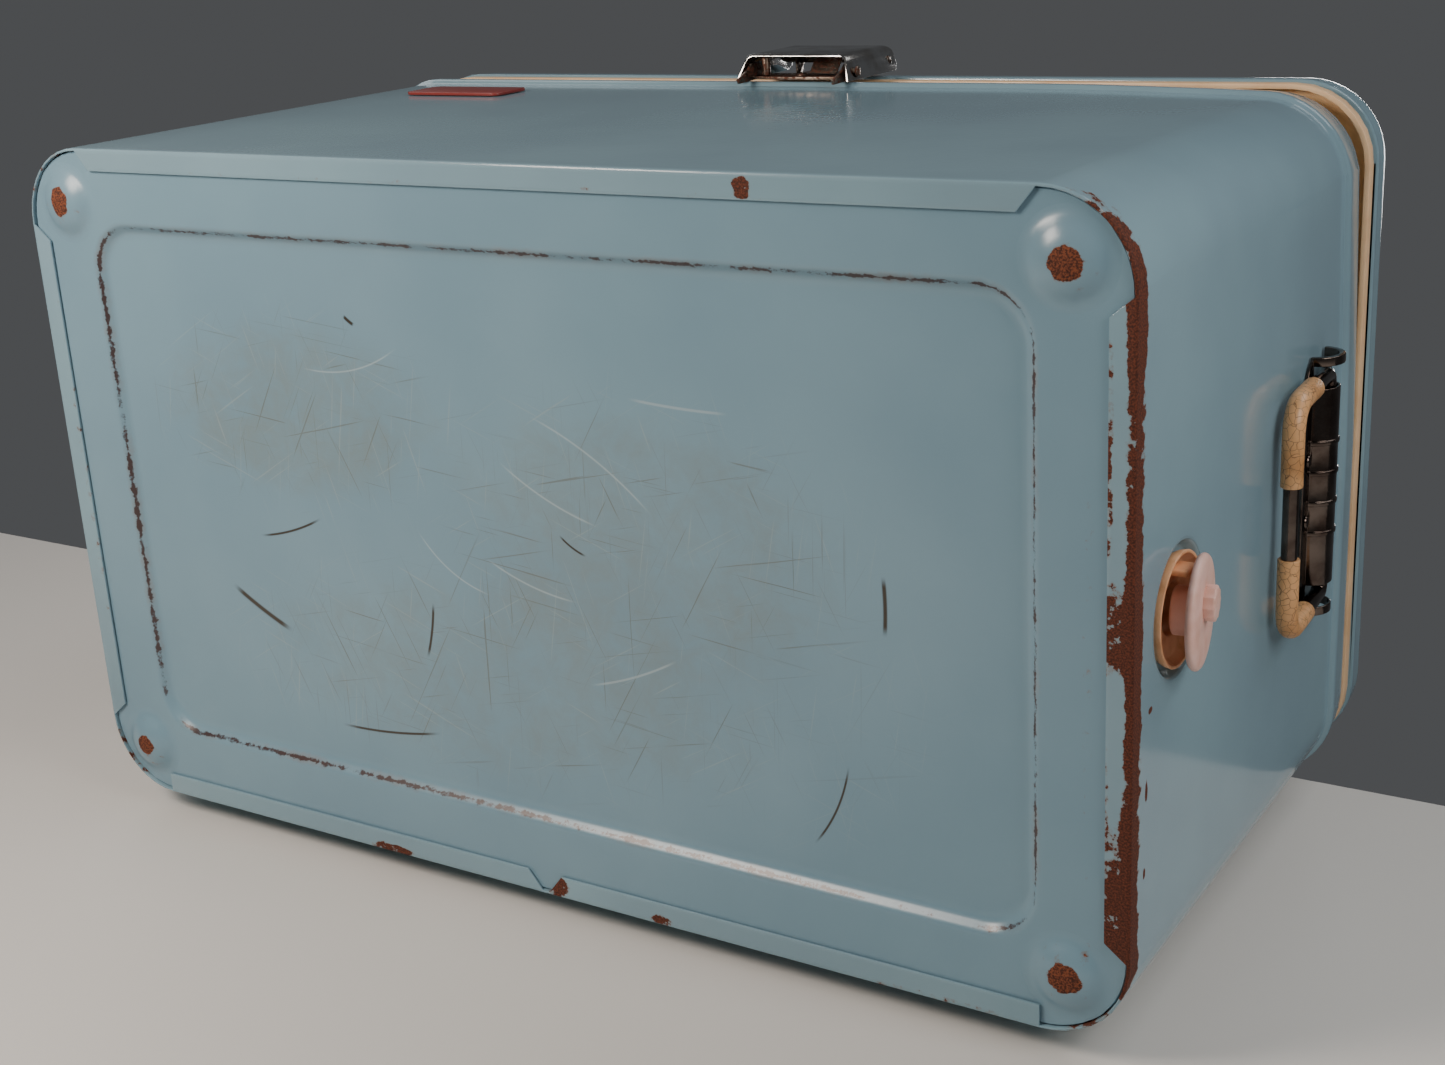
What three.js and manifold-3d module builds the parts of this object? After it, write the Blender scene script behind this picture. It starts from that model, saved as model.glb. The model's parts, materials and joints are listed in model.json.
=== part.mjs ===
// Steel picnic ice chest: painted steel body and lid, foam insulation, plastic liner with a tray ledge,
// over-rim latch, two bail handles, a drain with a tethered cap, and a sliding food tray.
// Units are millimetres. +Z is up, the latch faces -Y, the hinges are at +Y, and the drain is at +X.
// The origin is at the bottom centre, on the plane that the four feet stand on.
import * as THREE from 'three';
import { mergeVertices } from 'three/addons/utils/BufferGeometryUtils.js';
import Module from 'manifold-3d';

const wasm = await Module();
wasm.setup();

// Clearances
const GAP = 0.4; // between neighbouring fixed pieces
const RUN = 0.4; // round a pin or shaft that turns
const OVERCUT = 2; // how far a cutting body stands past what it cuts

// Body
const BODY_WIDTH = 560; // X
const BODY_DEPTH = 333; // Y
const CORNER_RADIUS = 37;
const SHEET = 1.2; // painted steel
const WALL_HEIGHT = 265.5; // from the bottom flange up to the rim band
const BAND_HEIGHT = 20.5; // rim band, which leans back in as it rises
const BAND_STEP = 2.2; // the band's lower edge stands this far off the wall
const BAND_TOP = 0.2;
const ROLL_HEIGHT = 6; // rolled edge above the band
const ROLL_INSET = 0.6;
const CORNER_STEPS = 7; // facets in each upright corner

// Bottom
const FOOT_HEIGHT = 4; // feet stand this far below the flanges
const FOOT_RADIUS = 14;
const FOOT_TIP_RADIUS = 4;
const FOOT_INSET = 26; // from each wall to the middle of a foot
const FLANGE_WIDTH = 10.5;
const FLANGE_CHAMFER_LENGTH = 11;
const FLANGE_CHAMFER_DEPTH = 6.5;
const SEAM_GAP = 3; // butt joint in the back flange
const PANEL_BORDER = 38; // flat border from the side walls to the recess
const PANEL_BORDER_DEPTH = 35; // the same at front and back
const PANEL_RECESS = 4.5;
const PANEL_BEVEL = 7;
const PANEL_CORNER = 24;

// Liner and its ledge
const WALL_THICKNESS = 32; // outer face to the inside of the liner, below the ledge
const LEDGE = 8; // the liner is this much wider all round above the ledge
const PLASTIC = 2.5;
const CAVITY_CORNER = 22;
const CAVITY_FLOOR = 30;
const LEDGE_DROP = 41; // lip's top down to the ledge
const LIP_HEIGHT = 8; // cream lip seen above the rolled edge
const LIP_GAP = 1;
const LIP_ROUND = 1;

// Lid
const SEAM = 3; // between the liner's lip and the lid's hem
const LID_HEIGHT = 29;
const LID_ROUND = 14;
const LID_CROWN = 1.4;
const LID_CROWN_INSET = 46;
const HEM_BULGE = 0.8;
const HEM_HEIGHT = 4.5;
const HEM_FOLD = 4;
const PLUG_CLEARANCE = 3; // lid liner's plug to the cavity
const PLUG_DROP = 15; // the plug reaches this far below the lid's hem
const PAN = 2; // lid liner's thickness
const PAN_CORNER = 2.5;
const GASKET_WIDTH = 10;

// Hinges
const HINGE_SPACING = 340;
const HINGE_WIDTH = 60;
const HINGE_OFFSET = 7; // axis behind the back wall
const HINGE_BARREL = 3.5;
const HINGE_PIN = 2;
const LEAF = 1.4;
const BODY_LEAF_DROP = 33; // lower end of the body leaf below the axis
const LID_LEAF_RISE = 19;
const HINGE_AXIS_DROP = 1.5; // axis below the lid's hem
const RIVET_HEAD = 3;
const RIVET_RISE = 1.2;
const HINGE_RIVET_SPACING = 40;

// Latch, placed from its pivot
const LATCH_X = -4;
const LATCH_PIVOT_OUT = 9.3; // pivot in front of the front wall
const LATCH_PIVOT_RISE = 5; // pivot above the lid's hem
const LATCH_ROUND = 7; // cover's outer radius about the pivot
const LATCH_WIDTH = 61; // over the cover's front corners
const LATCH_FLARE = 2.6; // each flange splays by this much towards the body
const LATCH_CORNER = 5;
const LATCH_STANDOFF = 3.2; // flange edge to the wall
const LATCH_SHEET = 1.3;
const LATCH_DROP = 43; // pivot to the finger lip
const LATCH_TAIL = 6; // flanges reach this much lower than the finger lip
const LATCH_OPEN_ANGLE = 85; // where the cover's closed top ends, from straight out
const LATCH_PIN = 1.8;
const LATCH_BASE_WIDTH = 46;
const LATCH_BASE_THICKNESS = 0.9;
const LATCH_BASE_FOOT = 3.5; // base plate starts this far below the pivot
const LATCH_BASE_TOP = 10.5;
const LATCH_EAR = 4.2;
const CATCH_STANDOFF = 3.4;
const CATCH_HEIGHT = 20;
const CATCH_BOW = 3;
const CATCH_RIVET_SPACING = 24;
const SIDE_RIVET_RISE = 10; // side rivets above the tail's end
const SIDE_RIVET_BACK = 2; // side rivets nearer the wall than the pivot
const POST_RADIUS = 2.2;
const POST_OFFSET = -20.5;
const SPRING_WIDTH = 16;
const SPRING_THICKNESS = 0.8;
const SPRING_OFFSET = 12;

// Bail handles
const HANDLE_DROP = 45.5; // bail pivots below the rim band
const BAIL_PIVOT_OUT = 5.4;
const BAIL_RADIUS = 3.5;
const BAIL_HALF_LENGTH = 51;
const BAIL_DROP = 59;
const BAIL_GRIP_OUT = 8;
const BAIL_CORNER = 14;
const BAIL_STUB = 14;
const BAIL_STUB_BEND = 5;
const GRIP_WALL = 0.9;
const GRIP_REACH = 35; // each sleeve runs this far along the grip from its end
const GRIP_RISE = 18; // and this far up the arm past the corner
const BRACKET_LENGTH = 120;
const BRACKET_WIDTH = 38;
const BRACKET_CORNER = 13;
const BRACKET_SHEET = 1.2;
const HOOD_LENGTH = 91;
const HOOP_WIDTH = 4;
const OPENER_RISE = 1.6; // front hoop stands this much proud of the hood
const RIB_SPACING = 14;
const RIB_COUNT = 4;
const HANDLE_RIVET_OFFSET = 14;
const HANDLE_RIVET_DROP = 14;

// Drain
const DRAIN_HEIGHT = 51;
const DIMPLE_RADIUS = 26.5;
const DIMPLE_DEPTH = 5;
const DIMPLE_TAPER = 2;
const COLLAR_RADIUS = 23;
const COLLAR_WALL = 1.6;
const COLLAR_RISE = 1.2; // rim in front of the wall
const COLLAR_FLOOR = 1.8;
const SPOUT_RADIUS = 12.6;
const SPOUT_BORE = 10;
const NUT_RADIUS = 18;
const NUT_LENGTH = 4;
const WASHER_THICKNESS = 1.5;
const SPOUT_OVERHANG = 1; // spout past the nut
const CAP_RADIUS = 22.5;
const CAP_THICKNESS = 5;
const CAP_STANDOFF = 5.5; // back of the cap in front of the wall
const CAP_ROUND = 1.8;
const STEM_LENGTH = 8;
const KNOB_RADIUS = 7;
const KNOB_HEIGHT = 4.5;
const KNOB_OFFSET = 4;
const STRAP_WIDTH = 12;
const STRAP_THICKNESS = 2.4;

// Badge and tray
const BADGE_WIDTH = 64;
const BADGE_HEIGHT = 28;
const BADGE_CORNER = 5;
const BADGE_THICKNESS = 1.5;
const BADGE_X = -186;
const BADGE_DROP = 43.5; // badge's middle below the rim band
const TRAY_LENGTH = 240;
const TRAY_CLEARANCE = 1.5;
const TRAY_HEIGHT = 25;
const TRAY_WALL = 2;
const TRAY_DRAFT = 3;

// Levels and planes worked out from the sizes above
const FRONT = -BODY_DEPTH / 2;
const BACK = BODY_DEPTH / 2;
const SIDE = BODY_WIDTH / 2;
const BAND_Z = FOOT_HEIGHT + WALL_HEIGHT;
const ROLL_Z = BAND_Z + BAND_HEIGHT;
const LIP_Z = ROLL_Z + ROLL_HEIGHT + LIP_GAP;
const LIP_TOP = LIP_Z + LIP_HEIGHT;
const LEDGE_HEIGHT = LIP_TOP - LEDGE_DROP;
const HEM_Z = LIP_TOP + SEAM;
const LID_TOP = HEM_Z + LID_HEIGHT;
const BORDER_Z = FOOT_HEIGHT + SHEET + GAP;
const RECESS_Z = BORDER_Z + PANEL_RECESS;
const HINGE_Y = BACK + HINGE_OFFSET;
const HINGE_Z = HEM_Z - HINGE_AXIS_DROP;
const HANDLE_HEIGHT = BAND_Z - HANDLE_DROP;
const BADGE_Z = BAND_Z - BADGE_DROP;
const LATCH_PIVOT_Z = HEM_Z + LATCH_PIVOT_RISE;
const LATCH_FACE_OUT = LATCH_PIVOT_OUT + LATCH_ROUND;
const LATCH_LIP_Z = LATCH_PIVOT_Z - LATCH_DROP;
const UPPER_INSET = WALL_THICKNESS - LEDGE;
const DIMPLE_FLOOR_X = SIDE - DIMPLE_DEPTH;

// ---------------------------------------------------------------- shapes

function material(color, roughness, metalness) {
  return new THREE.MeshStandardMaterial({ color, roughness, metalness });
}

const paint = () => material(0x8fb0bf, 0.35, 0.1);
const creamPlastic = () => material(0xead9b8, 0.5, 0);
const foam = () => material(0xe6dfc9, 0.9, 0);
const chrome = () => material(0xc9ccd0, 0.12, 1);
const zincSteel = () => material(0x9d958a, 0.35, 1);
const rubber = () => material(0x17181a, 0.8, 0);
const badgeRed = () => material(0xa32a26, 0.4, 0.2);

function piece(name, geometry, finish) {
  const mesh = new THREE.Mesh(geometry, finish);
  mesh.name = name;
  return mesh;
}

function solid(geometry) {
  const bare = geometry.clone();
  bare.deleteAttribute('normal');
  bare.deleteAttribute('uv');
  const merged = mergeVertices(bare, 1e-4);
  return new wasm.Manifold(new wasm.Mesh({
    numProp: 3,
    vertProperties: new Float32Array(merged.attributes.position.array),
    triVerts: new Uint32Array(merged.index.array),
  }));
}

function geometryOf(body) {
  const mesh = body.getMesh();
  const geometry = new THREE.BufferGeometry();
  geometry.setAttribute('position', new THREE.BufferAttribute(new Float32Array(mesh.vertProperties), 3));
  geometry.setIndex(new THREE.BufferAttribute(new Uint32Array(mesh.triVerts), 1));
  return geometry;
}

// A rounded rectangle with the same number of points whatever its size, counter-clockwise from above.
function outline(width, depth, radius, steps = CORNER_STEPS) {
  const round = Math.max(radius, 1);
  const points = [];
  const corners = [[1, -1, -90], [1, 1, 0], [-1, 1, 90], [-1, -1, 180]];
  for (const [sideX, sideY, start] of corners) {
    for (let step = 0; step <= steps; step += 1) {
      const angle = THREE.MathUtils.degToRad(start + (90 * step) / steps);
      points.push(new THREE.Vector2(
        sideX * (width / 2 - round) + round * Math.cos(angle),
        sideY * (depth / 2 - round) + round * Math.sin(angle),
      ));
    }
  }
  return points;
}

// A skin through outlines of equal length. A closed loft joins its last outline to its first, and an
// open one is capped at both ends.
function loft(sections, closed) {
  const count = sections[0].points.length;
  const positions = [];
  const index = [];
  for (const { points, z } of sections) {
    for (const point of points) positions.push(point.x, point.y, z);
  }
  const bands = closed ? sections.length : sections.length - 1;
  for (let band = 0; band < bands; band += 1) {
    const low = band * count;
    const high = ((band + 1) % sections.length) * count;
    for (let i = 0; i < count; i += 1) {
      const j = (i + 1) % count;
      index.push(low + i, low + j, high + j, low + i, high + j, high + i);
    }
  }
  if (!closed) {
    const last = (sections.length - 1) * count;
    const middle = positions.length / 3;
    positions.push(0, 0, sections[0].z, 0, 0, sections[sections.length - 1].z);
    for (let i = 0; i < count; i += 1) {
      const j = (i + 1) % count;
      index.push(middle, j, i, middle + 1, last + i, last + j);
    }
  }
  const geometry = new THREE.BufferGeometry();
  geometry.setAttribute('position', new THREE.Float32BufferAttribute(positions, 3));
  geometry.setIndex(index);
  return geometry;
}

// Outlines that stand off the body's walls: each profile point is [distance outside the wall, height].
function aroundBody(profile, closed, radius = CORNER_RADIUS) {
  const sections = profile.map(([out, z]) => ({
    points: outline(BODY_WIDTH + 2 * out, BODY_DEPTH + 2 * out, radius + out),
    z,
  }));
  return loft(sections, closed);
}

// An arc as [x, y] points about a centre, angles in degrees.
function arc(x, y, radius, from, to, steps) {
  const points = [];
  for (let step = 0; step <= steps; step += 1) {
    const angle = THREE.MathUtils.degToRad(from + ((to - from) * step) / steps);
    points.push([x + radius * Math.cos(angle), y + radius * Math.sin(angle)]);
  }
  return points;
}

function shapeOf(points) {
  return new THREE.Shape(points.map(([x, y]) => new THREE.Vector2(x, y)));
}

function extrude(points, length) {
  return new THREE.ExtrudeGeometry(shapeOf(points), { depth: length, bevelEnabled: false, steps: 1 });
}

// An outline drawn in the plane of out (-Y) and up (Z) on the front wall, carried from X = from to X = to.
function alongFront(points, from, to) {
  const geometry = extrude(points, to - from);
  geometry.rotateX(Math.PI / 2);
  geometry.rotateZ(-Math.PI / 2);
  geometry.translate(to, FRONT, 0);
  return geometry;
}

// The same on the back wall, where out is +Y.
function alongBack(points, from, to) {
  const geometry = extrude(points, to - from);
  geometry.rotateX(Math.PI / 2);
  geometry.rotateZ(Math.PI / 2);
  geometry.translate(from, BACK, 0);
  return geometry;
}

// A box from its two opposite corners.
function block(low, high) {
  const size = high.map((value, axis) => value - low[axis]);
  const geometry = new THREE.BoxGeometry(...size);
  geometry.translate(...high.map((value, axis) => (value + low[axis]) / 2));
  return geometry;
}

// A turned shape about an axis along X: each profile point is [distance along X, radius].
function turnedX(profile, y, z, segments = 32) {
  const points = profile.map(([along, radius]) => new THREE.Vector2(radius, along));
  const geometry = new THREE.LatheGeometry(points, segments);
  geometry.rotateZ(-Math.PI / 2);
  geometry.translate(0, y, z);
  return geometry;
}

function cylinderX(from, to, radius, y, z, segments = 24) {
  return turnedX([[from, 0], [from, radius], [to, radius], [to, 0]], y, z, segments);
}

// A turned shape about a vertical axis: each profile point is [radius, z].
function turnedZ(profile, x, y, segments = 24) {
  const points = profile.map(([radius, z]) => new THREE.Vector2(radius, z));
  const geometry = new THREE.LatheGeometry(points, segments);
  geometry.rotateX(Math.PI / 2);
  geometry.translate(x, y, 0);
  return geometry;
}

// ---------------------------------------------------------------- body

function flange(length) {
  const half = length / 2;
  return [
    [-half, -SHEET], [half, -SHEET],
    [half, -(FLANGE_WIDTH - FLANGE_CHAMFER_DEPTH)], [half - FLANGE_CHAMFER_LENGTH, -FLANGE_WIDTH],
    [-half + FLANGE_CHAMFER_LENGTH, -FLANGE_WIDTH], [-half, -(FLANGE_WIDTH - FLANGE_CHAMFER_DEPTH)],
  ].map(([x, y]) => [x, y + SHEET / 2]).reverse();
}

function bottomFlanges() {
  const sides = [
    { length: BODY_WIDTH - 2 * CORNER_RADIUS, turn: Math.PI, reach: BACK },
    { length: BODY_WIDTH - 2 * CORNER_RADIUS, turn: 0, reach: BACK },
    { length: BODY_DEPTH - 2 * CORNER_RADIUS, turn: Math.PI / 2, reach: SIDE },
    { length: BODY_DEPTH - 2 * CORNER_RADIUS, turn: -Math.PI / 2, reach: SIDE },
  ];
  return sides.map(({ length, turn, reach }) => {
    const geometry = extrude(flange(length), SHEET);
    geometry.translate(0, reach - SHEET / 2, FOOT_HEIGHT);
    geometry.rotateZ(turn);
    return geometry;
  });
}

function bodyWrapper() {
  const edge = SHEET * 0.6;
  const outside = [
    [-edge, FOOT_HEIGHT], [0, FOOT_HEIGHT + edge], [0, BAND_Z - BAND_STEP / 2],
    [BAND_STEP, BAND_Z + BAND_STEP / 3], [BAND_STEP, BAND_Z + BAND_STEP], [BAND_TOP, ROLL_Z],
    [-ROLL_INSET, ROLL_Z + 2 * ROLL_INSET], [-ROLL_INSET, ROLL_Z + ROLL_HEIGHT],
  ];
  const inside = [
    [-ROLL_INSET - SHEET, ROLL_Z + ROLL_HEIGHT], [-ROLL_INSET - SHEET, ROLL_Z + 2 * ROLL_INSET],
    [BAND_TOP - SHEET, ROLL_Z - ROLL_INSET], [BAND_STEP - SHEET, BAND_Z + BAND_STEP + SHEET],
    [-SHEET, BAND_Z + BAND_STEP / 2], [-SHEET, FOOT_HEIGHT],
  ];
  let body = solid(aroundBody([...outside, ...inside], true));
  for (const geometry of bottomFlanges()) body = body.add(solid(geometry));
  const seam = block(
    [-SEAM_GAP / 2, BACK - FLANGE_WIDTH - OVERCUT, FOOT_HEIGHT - OVERCUT],
    [SEAM_GAP / 2, BACK - SHEET, FOOT_HEIGHT + SHEET + OVERCUT],
  );
  const dish = [
    [SIDE - SHEET / 2, 0], [SIDE - SHEET / 2, DIMPLE_RADIUS + SHEET],
    [DIMPLE_FLOOR_X - SHEET, DIMPLE_RADIUS + SHEET - DIMPLE_TAPER], [DIMPLE_FLOOR_X - SHEET, 0],
  ];
  const slope = DIMPLE_TAPER / DIMPLE_DEPTH;
  const recess = [
    [SIDE + OVERCUT, 0], [SIDE + OVERCUT, DIMPLE_RADIUS + slope * OVERCUT],
    [DIMPLE_FLOOR_X, DIMPLE_RADIUS - DIMPLE_TAPER], [DIMPLE_FLOOR_X, 0],
  ];
  const holeFrom = DIMPLE_FLOOR_X - SHEET - OVERCUT;
  const hole = cylinderX(holeFrom, SIDE + OVERCUT, SPOUT_RADIUS + GAP, 0, DRAIN_HEIGHT);
  body = body.subtract(solid(seam));
  body = body.add(solid(turnedX(dish.reverse(), 0, DRAIN_HEIGHT, 40)));
  body = body.subtract(solid(turnedX(recess.reverse(), 0, DRAIN_HEIGHT, 40)));
  body = body.subtract(solid(hole));
  return piece('body_wrapper', geometryOf(body), paint());
}

function bottomPanel() {
  const inset = SHEET + GAP;
  const rectangle = (insetX, insetY, radius) => outline(
    BODY_WIDTH - 2 * insetX,
    BODY_DEPTH - 2 * insetY,
    radius,
  );
  const rim = rectangle(inset, inset, CORNER_RADIUS - inset);
  const brink = rectangle(PANEL_BORDER, PANEL_BORDER_DEPTH, PANEL_CORNER);
  const floorCorner = PANEL_CORNER - PANEL_BEVEL;
  const floor = rectangle(PANEL_BORDER + PANEL_BEVEL, PANEL_BORDER_DEPTH + PANEL_BEVEL, floorCorner);
  const sheet = loft([
    { points: floor, z: RECESS_Z }, { points: brink, z: BORDER_Z }, { points: rim, z: BORDER_Z },
    { points: rim, z: BORDER_Z + SHEET }, { points: brink, z: BORDER_Z + SHEET },
    { points: floor, z: RECESS_Z + SHEET },
  ], false);
  const outer = [
    [0, 0], [FOOT_TIP_RADIUS, 0],
    [FOOT_RADIUS * 0.6, FOOT_HEIGHT * 0.26], [FOOT_RADIUS * 0.84, FOOT_HEIGHT * 0.68],
    [FOOT_RADIUS, BORDER_Z + SHEET / 2], [0, BORDER_Z + SHEET / 2],
  ];
  const hollow = [
    [0, SHEET], [FOOT_TIP_RADIUS, SHEET], [FOOT_RADIUS * 0.6 - SHEET / 2, FOOT_HEIGHT * 0.26 + SHEET],
    [FOOT_RADIUS * 0.84 - SHEET, FOOT_HEIGHT * 0.68 + SHEET],
    [FOOT_RADIUS - SHEET, BORDER_Z + SHEET + OVERCUT],
    [0, BORDER_Z + SHEET + OVERCUT],
  ];
  let panel = solid(sheet);
  for (const x of [-SIDE + FOOT_INSET, SIDE - FOOT_INSET]) {
    for (const y of [FRONT + FOOT_INSET, BACK - FOOT_INSET]) {
      panel = panel.add(solid(turnedZ(outer, x, y)));
      panel = panel.subtract(solid(turnedZ(hollow, x, y)));
    }
  }
  return piece('bottom_panel', geometryOf(panel), paint());
}

// Outlines of the liner's cavity, grown or shrunk by an offset.
function cavity(inset, offset) {
  return outline(
    BODY_WIDTH - 2 * inset + 2 * offset,
    BODY_DEPTH - 2 * inset + 2 * offset,
    CAVITY_CORNER + offset,
  );
}

function innerLiner() {
  const lip = (out) => outline(BODY_WIDTH + 2 * out, BODY_DEPTH + 2 * out, CORNER_RADIUS + out);
  const sections = [
    { points: cavity(WALL_THICKNESS, PLASTIC), z: CAVITY_FLOOR - PLASTIC },
    { points: cavity(WALL_THICKNESS, PLASTIC), z: LEDGE_HEIGHT - PLASTIC },
    { points: cavity(UPPER_INSET, PLASTIC), z: LEDGE_HEIGHT - PLASTIC },
    { points: cavity(UPPER_INSET, PLASTIC), z: LIP_TOP - PLASTIC },
    { points: lip(-PLASTIC), z: LIP_TOP - PLASTIC },
    { points: lip(-PLASTIC), z: LIP_Z },
    { points: lip(0), z: LIP_Z },
    { points: lip(0), z: LIP_TOP - LIP_ROUND },
    { points: lip(-LIP_ROUND), z: LIP_TOP },
    { points: cavity(UPPER_INSET, 0), z: LIP_TOP },
    { points: cavity(UPPER_INSET, 0), z: LEDGE_HEIGHT },
    { points: cavity(WALL_THICKNESS, 0), z: LEDGE_HEIGHT },
    { points: cavity(WALL_THICKNESS, 0), z: CAVITY_FLOOR },
  ];
  const inside = SIDE - WALL_THICKNESS;
  const hole = cylinderX(inside - OVERCUT, inside + PLASTIC + OVERCUT, SPOUT_RADIUS + GAP, 0, DRAIN_HEIGHT);
  const liner = solid(loft(sections, false)).subtract(solid(hole));
  return piece('inner_liner', geometryOf(liner), creamPlastic());
}

function bodyInsulation() {
  const outer = (out) => outline(BODY_WIDTH - 2 * out, BODY_DEPTH - 2 * out, CORNER_RADIUS - out);
  const reach = PLASTIC + GAP;
  const skin = Math.max(reach, ROLL_INSET + SHEET + GAP);
  const bottom = RECESS_Z + SHEET + GAP;
  const top = LIP_TOP - reach;
  const sections = [
    { points: outer(skin), z: bottom }, { points: outer(skin), z: top },
    { points: cavity(UPPER_INSET, reach), z: top },
    { points: cavity(UPPER_INSET, reach), z: LEDGE_HEIGHT - reach },
    { points: cavity(WALL_THICKNESS, reach), z: LEDGE_HEIGHT - reach },
    { points: cavity(WALL_THICKNESS, reach), z: CAVITY_FLOOR - reach },
  ];
  const inside = SIDE - WALL_THICKNESS;
  const hole = cylinderX(inside - OVERCUT, SIDE, SPOUT_RADIUS + GAP, 0, DRAIN_HEIGHT);
  const pocketFloor = DIMPLE_FLOOR_X - SHEET - GAP;
  const pocket = cylinderX(pocketFloor, SIDE, DIMPLE_RADIUS + SHEET + GAP, 0, DRAIN_HEIGHT, 32);
  const body = solid(loft(sections, false)).subtract(solid(hole)).subtract(solid(pocket));
  // The walls' slabs meet at mitres through the corners and stand on the floor's slab.
  const floorTop = CAVITY_FLOOR - reach;
  const upright = (corners) => {
    const prism = extrude(corners, LID_TOP);
    prism.translate(0, 0, floorTop + GAP);
    return prism;
  };
  const mitre = SIDE - BACK;
  const far = 2 * SIDE;
  const wide = mitre + far;
  const apex = mitre + 2 * GAP;
  const floor = block([-far, -far, -OVERCUT], [far, far, floorTop]);
  const slabs = {
    floor_insulation: floor,
    front_insulation: upright([[-mitre, 0], [-wide, -far], [wide, -far], [mitre, 0]]),
    back_insulation: upright([[mitre, 0], [wide, far], [-wide, far], [-mitre, 0]]),
    left_end_insulation: upright([[-apex, 0], [-apex - far, far], [-apex - far, -far]]),
    drain_end_insulation: upright([[apex, 0], [apex + far, -far], [apex + far, far]]),
  };
  return Object.entries(slabs).map(([name, slab]) => (
    piece(name, geometryOf(body.intersect(solid(slab))), foam())
  ));
}

// ---------------------------------------------------------------- lid

function lidShell() {
  const shoulder = LID_TOP - LID_CROWN;
  const inner = arc(-LID_ROUND, shoulder - LID_ROUND, LID_ROUND - SHEET, 90, 0, 4);
  const outer = arc(-LID_ROUND, shoulder - LID_ROUND, LID_ROUND, 0, 90, 4);
  const profile = [
    [-LID_CROWN_INSET, LID_TOP - SHEET], ...inner, [-SHEET, HEM_Z + HEM_HEIGHT],
    [-SHEET, HEM_Z + SHEET], [-HEM_FOLD, HEM_Z + SHEET], [-HEM_FOLD, HEM_Z], [0, HEM_Z],
    [HEM_BULGE, HEM_Z + HEM_BULGE], [HEM_BULGE, HEM_Z + HEM_HEIGHT - 2 * HEM_BULGE], [0, HEM_Z + HEM_HEIGHT],
    ...outer, [-LID_CROWN_INSET, LID_TOP],
  ];
  return piece('lid_shell', aroundBody(profile, false), paint());
}

function lidLiner() {
  const flat = (inset, radius) => outline(BODY_WIDTH - 2 * inset, BODY_DEPTH - 2 * inset, radius);
  const low = HEM_Z + SHEET + GAP;
  const floor = HEM_Z - PLUG_DROP;
  const plug = UPPER_INSET + PLUG_CLEARANCE;
  const corner = CAVITY_CORNER - PLUG_CLEARANCE;
  const edge = SHEET + GAP;
  const sections = [
    { points: flat(plug + PAN_CORNER, corner - PAN_CORNER), z: floor },
    { points: flat(plug, corner), z: floor + PAN_CORNER },
    { points: flat(plug, corner), z: low },
    { points: flat(edge, CORNER_RADIUS - edge), z: low },
    { points: flat(edge, CORNER_RADIUS - edge), z: low + PAN },
    { points: flat(plug + PAN, corner - PAN), z: low + PAN },
    { points: flat(plug + PAN, corner - PAN), z: floor + PAN_CORNER + PAN / 2 },
    { points: flat(plug + PAN + PAN_CORNER, corner - PAN - PAN_CORNER), z: floor + PAN },
  ];
  return piece('lid_liner', loft(sections, false), creamPlastic());
}

function lidInsulation() {
  const flat = (inset, radius) => outline(BODY_WIDTH - 2 * inset, BODY_DEPTH - 2 * inset, radius);
  const shelf = HEM_Z + SHEET + GAP + PAN + GAP;
  const plug = UPPER_INSET + PLUG_CLEARANCE + PAN + PAN_CORNER + GAP;
  const corner = CAVITY_CORNER - PLUG_CLEARANCE - PAN - PAN_CORNER - GAP;
  const skin = SHEET + 2 * GAP;
  const shoulder = LID_TOP - LID_CROWN - LID_ROUND;
  const round = LID_ROUND + SHEET;
  const sections = [
    { points: flat(plug, corner), z: HEM_Z - PLUG_DROP + PAN + GAP + PAN_CORNER / 2 },
    { points: flat(plug, corner), z: shelf },
    { points: flat(skin, CORNER_RADIUS - skin), z: shelf },
    { points: flat(skin, CORNER_RADIUS - skin), z: shoulder },
    { points: flat(round / 2, CORNER_RADIUS - round / 2), z: shoulder + LID_ROUND * 0.6 },
    { points: flat(round, CORNER_RADIUS - round), z: shoulder + LID_ROUND - SHEET - 2 * GAP },
  ];
  return piece('lid_insulation', loft(sections, false), foam());
}

function lidGasket() {
  const outer = -HEM_FOLD - 2 * GAP;
  const profile = [
    [outer, LIP_TOP + GAP], [outer, HEM_Z + SHEET], [outer - GASKET_WIDTH, HEM_Z + SHEET],
    [outer - GASKET_WIDTH, LIP_TOP + GAP],
  ];
  return piece('lid_gasket', aroundBody(profile, true), rubber());
}

// ---------------------------------------------------------------- hinges

function rivetOnWall(name, wallPoint, outward, grip) {
  const profile = [
    [0, 0], [RIVET_HEAD, 0], [RIVET_HEAD * 0.8, RIVET_RISE * 0.7],
    [RIVET_HEAD * 0.4, RIVET_RISE], [0, RIVET_RISE],
  ];
  const geometry = new THREE.LatheGeometry(profile.map(([r, h]) => new THREE.Vector2(r, h)), 14);
  const rivet = piece(name, geometry, zincSteel());
  rivet.quaternion.setFromUnitVectors(new THREE.Vector3(0, 1, 0), outward);
  rivet.position.copy(wallPoint).addScaledVector(outward, grip);
  return rivet;
}

function barrelShape(radius) {
  return arc(HINGE_OFFSET, HINGE_Z, radius, 0, 345, 23);
}

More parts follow.
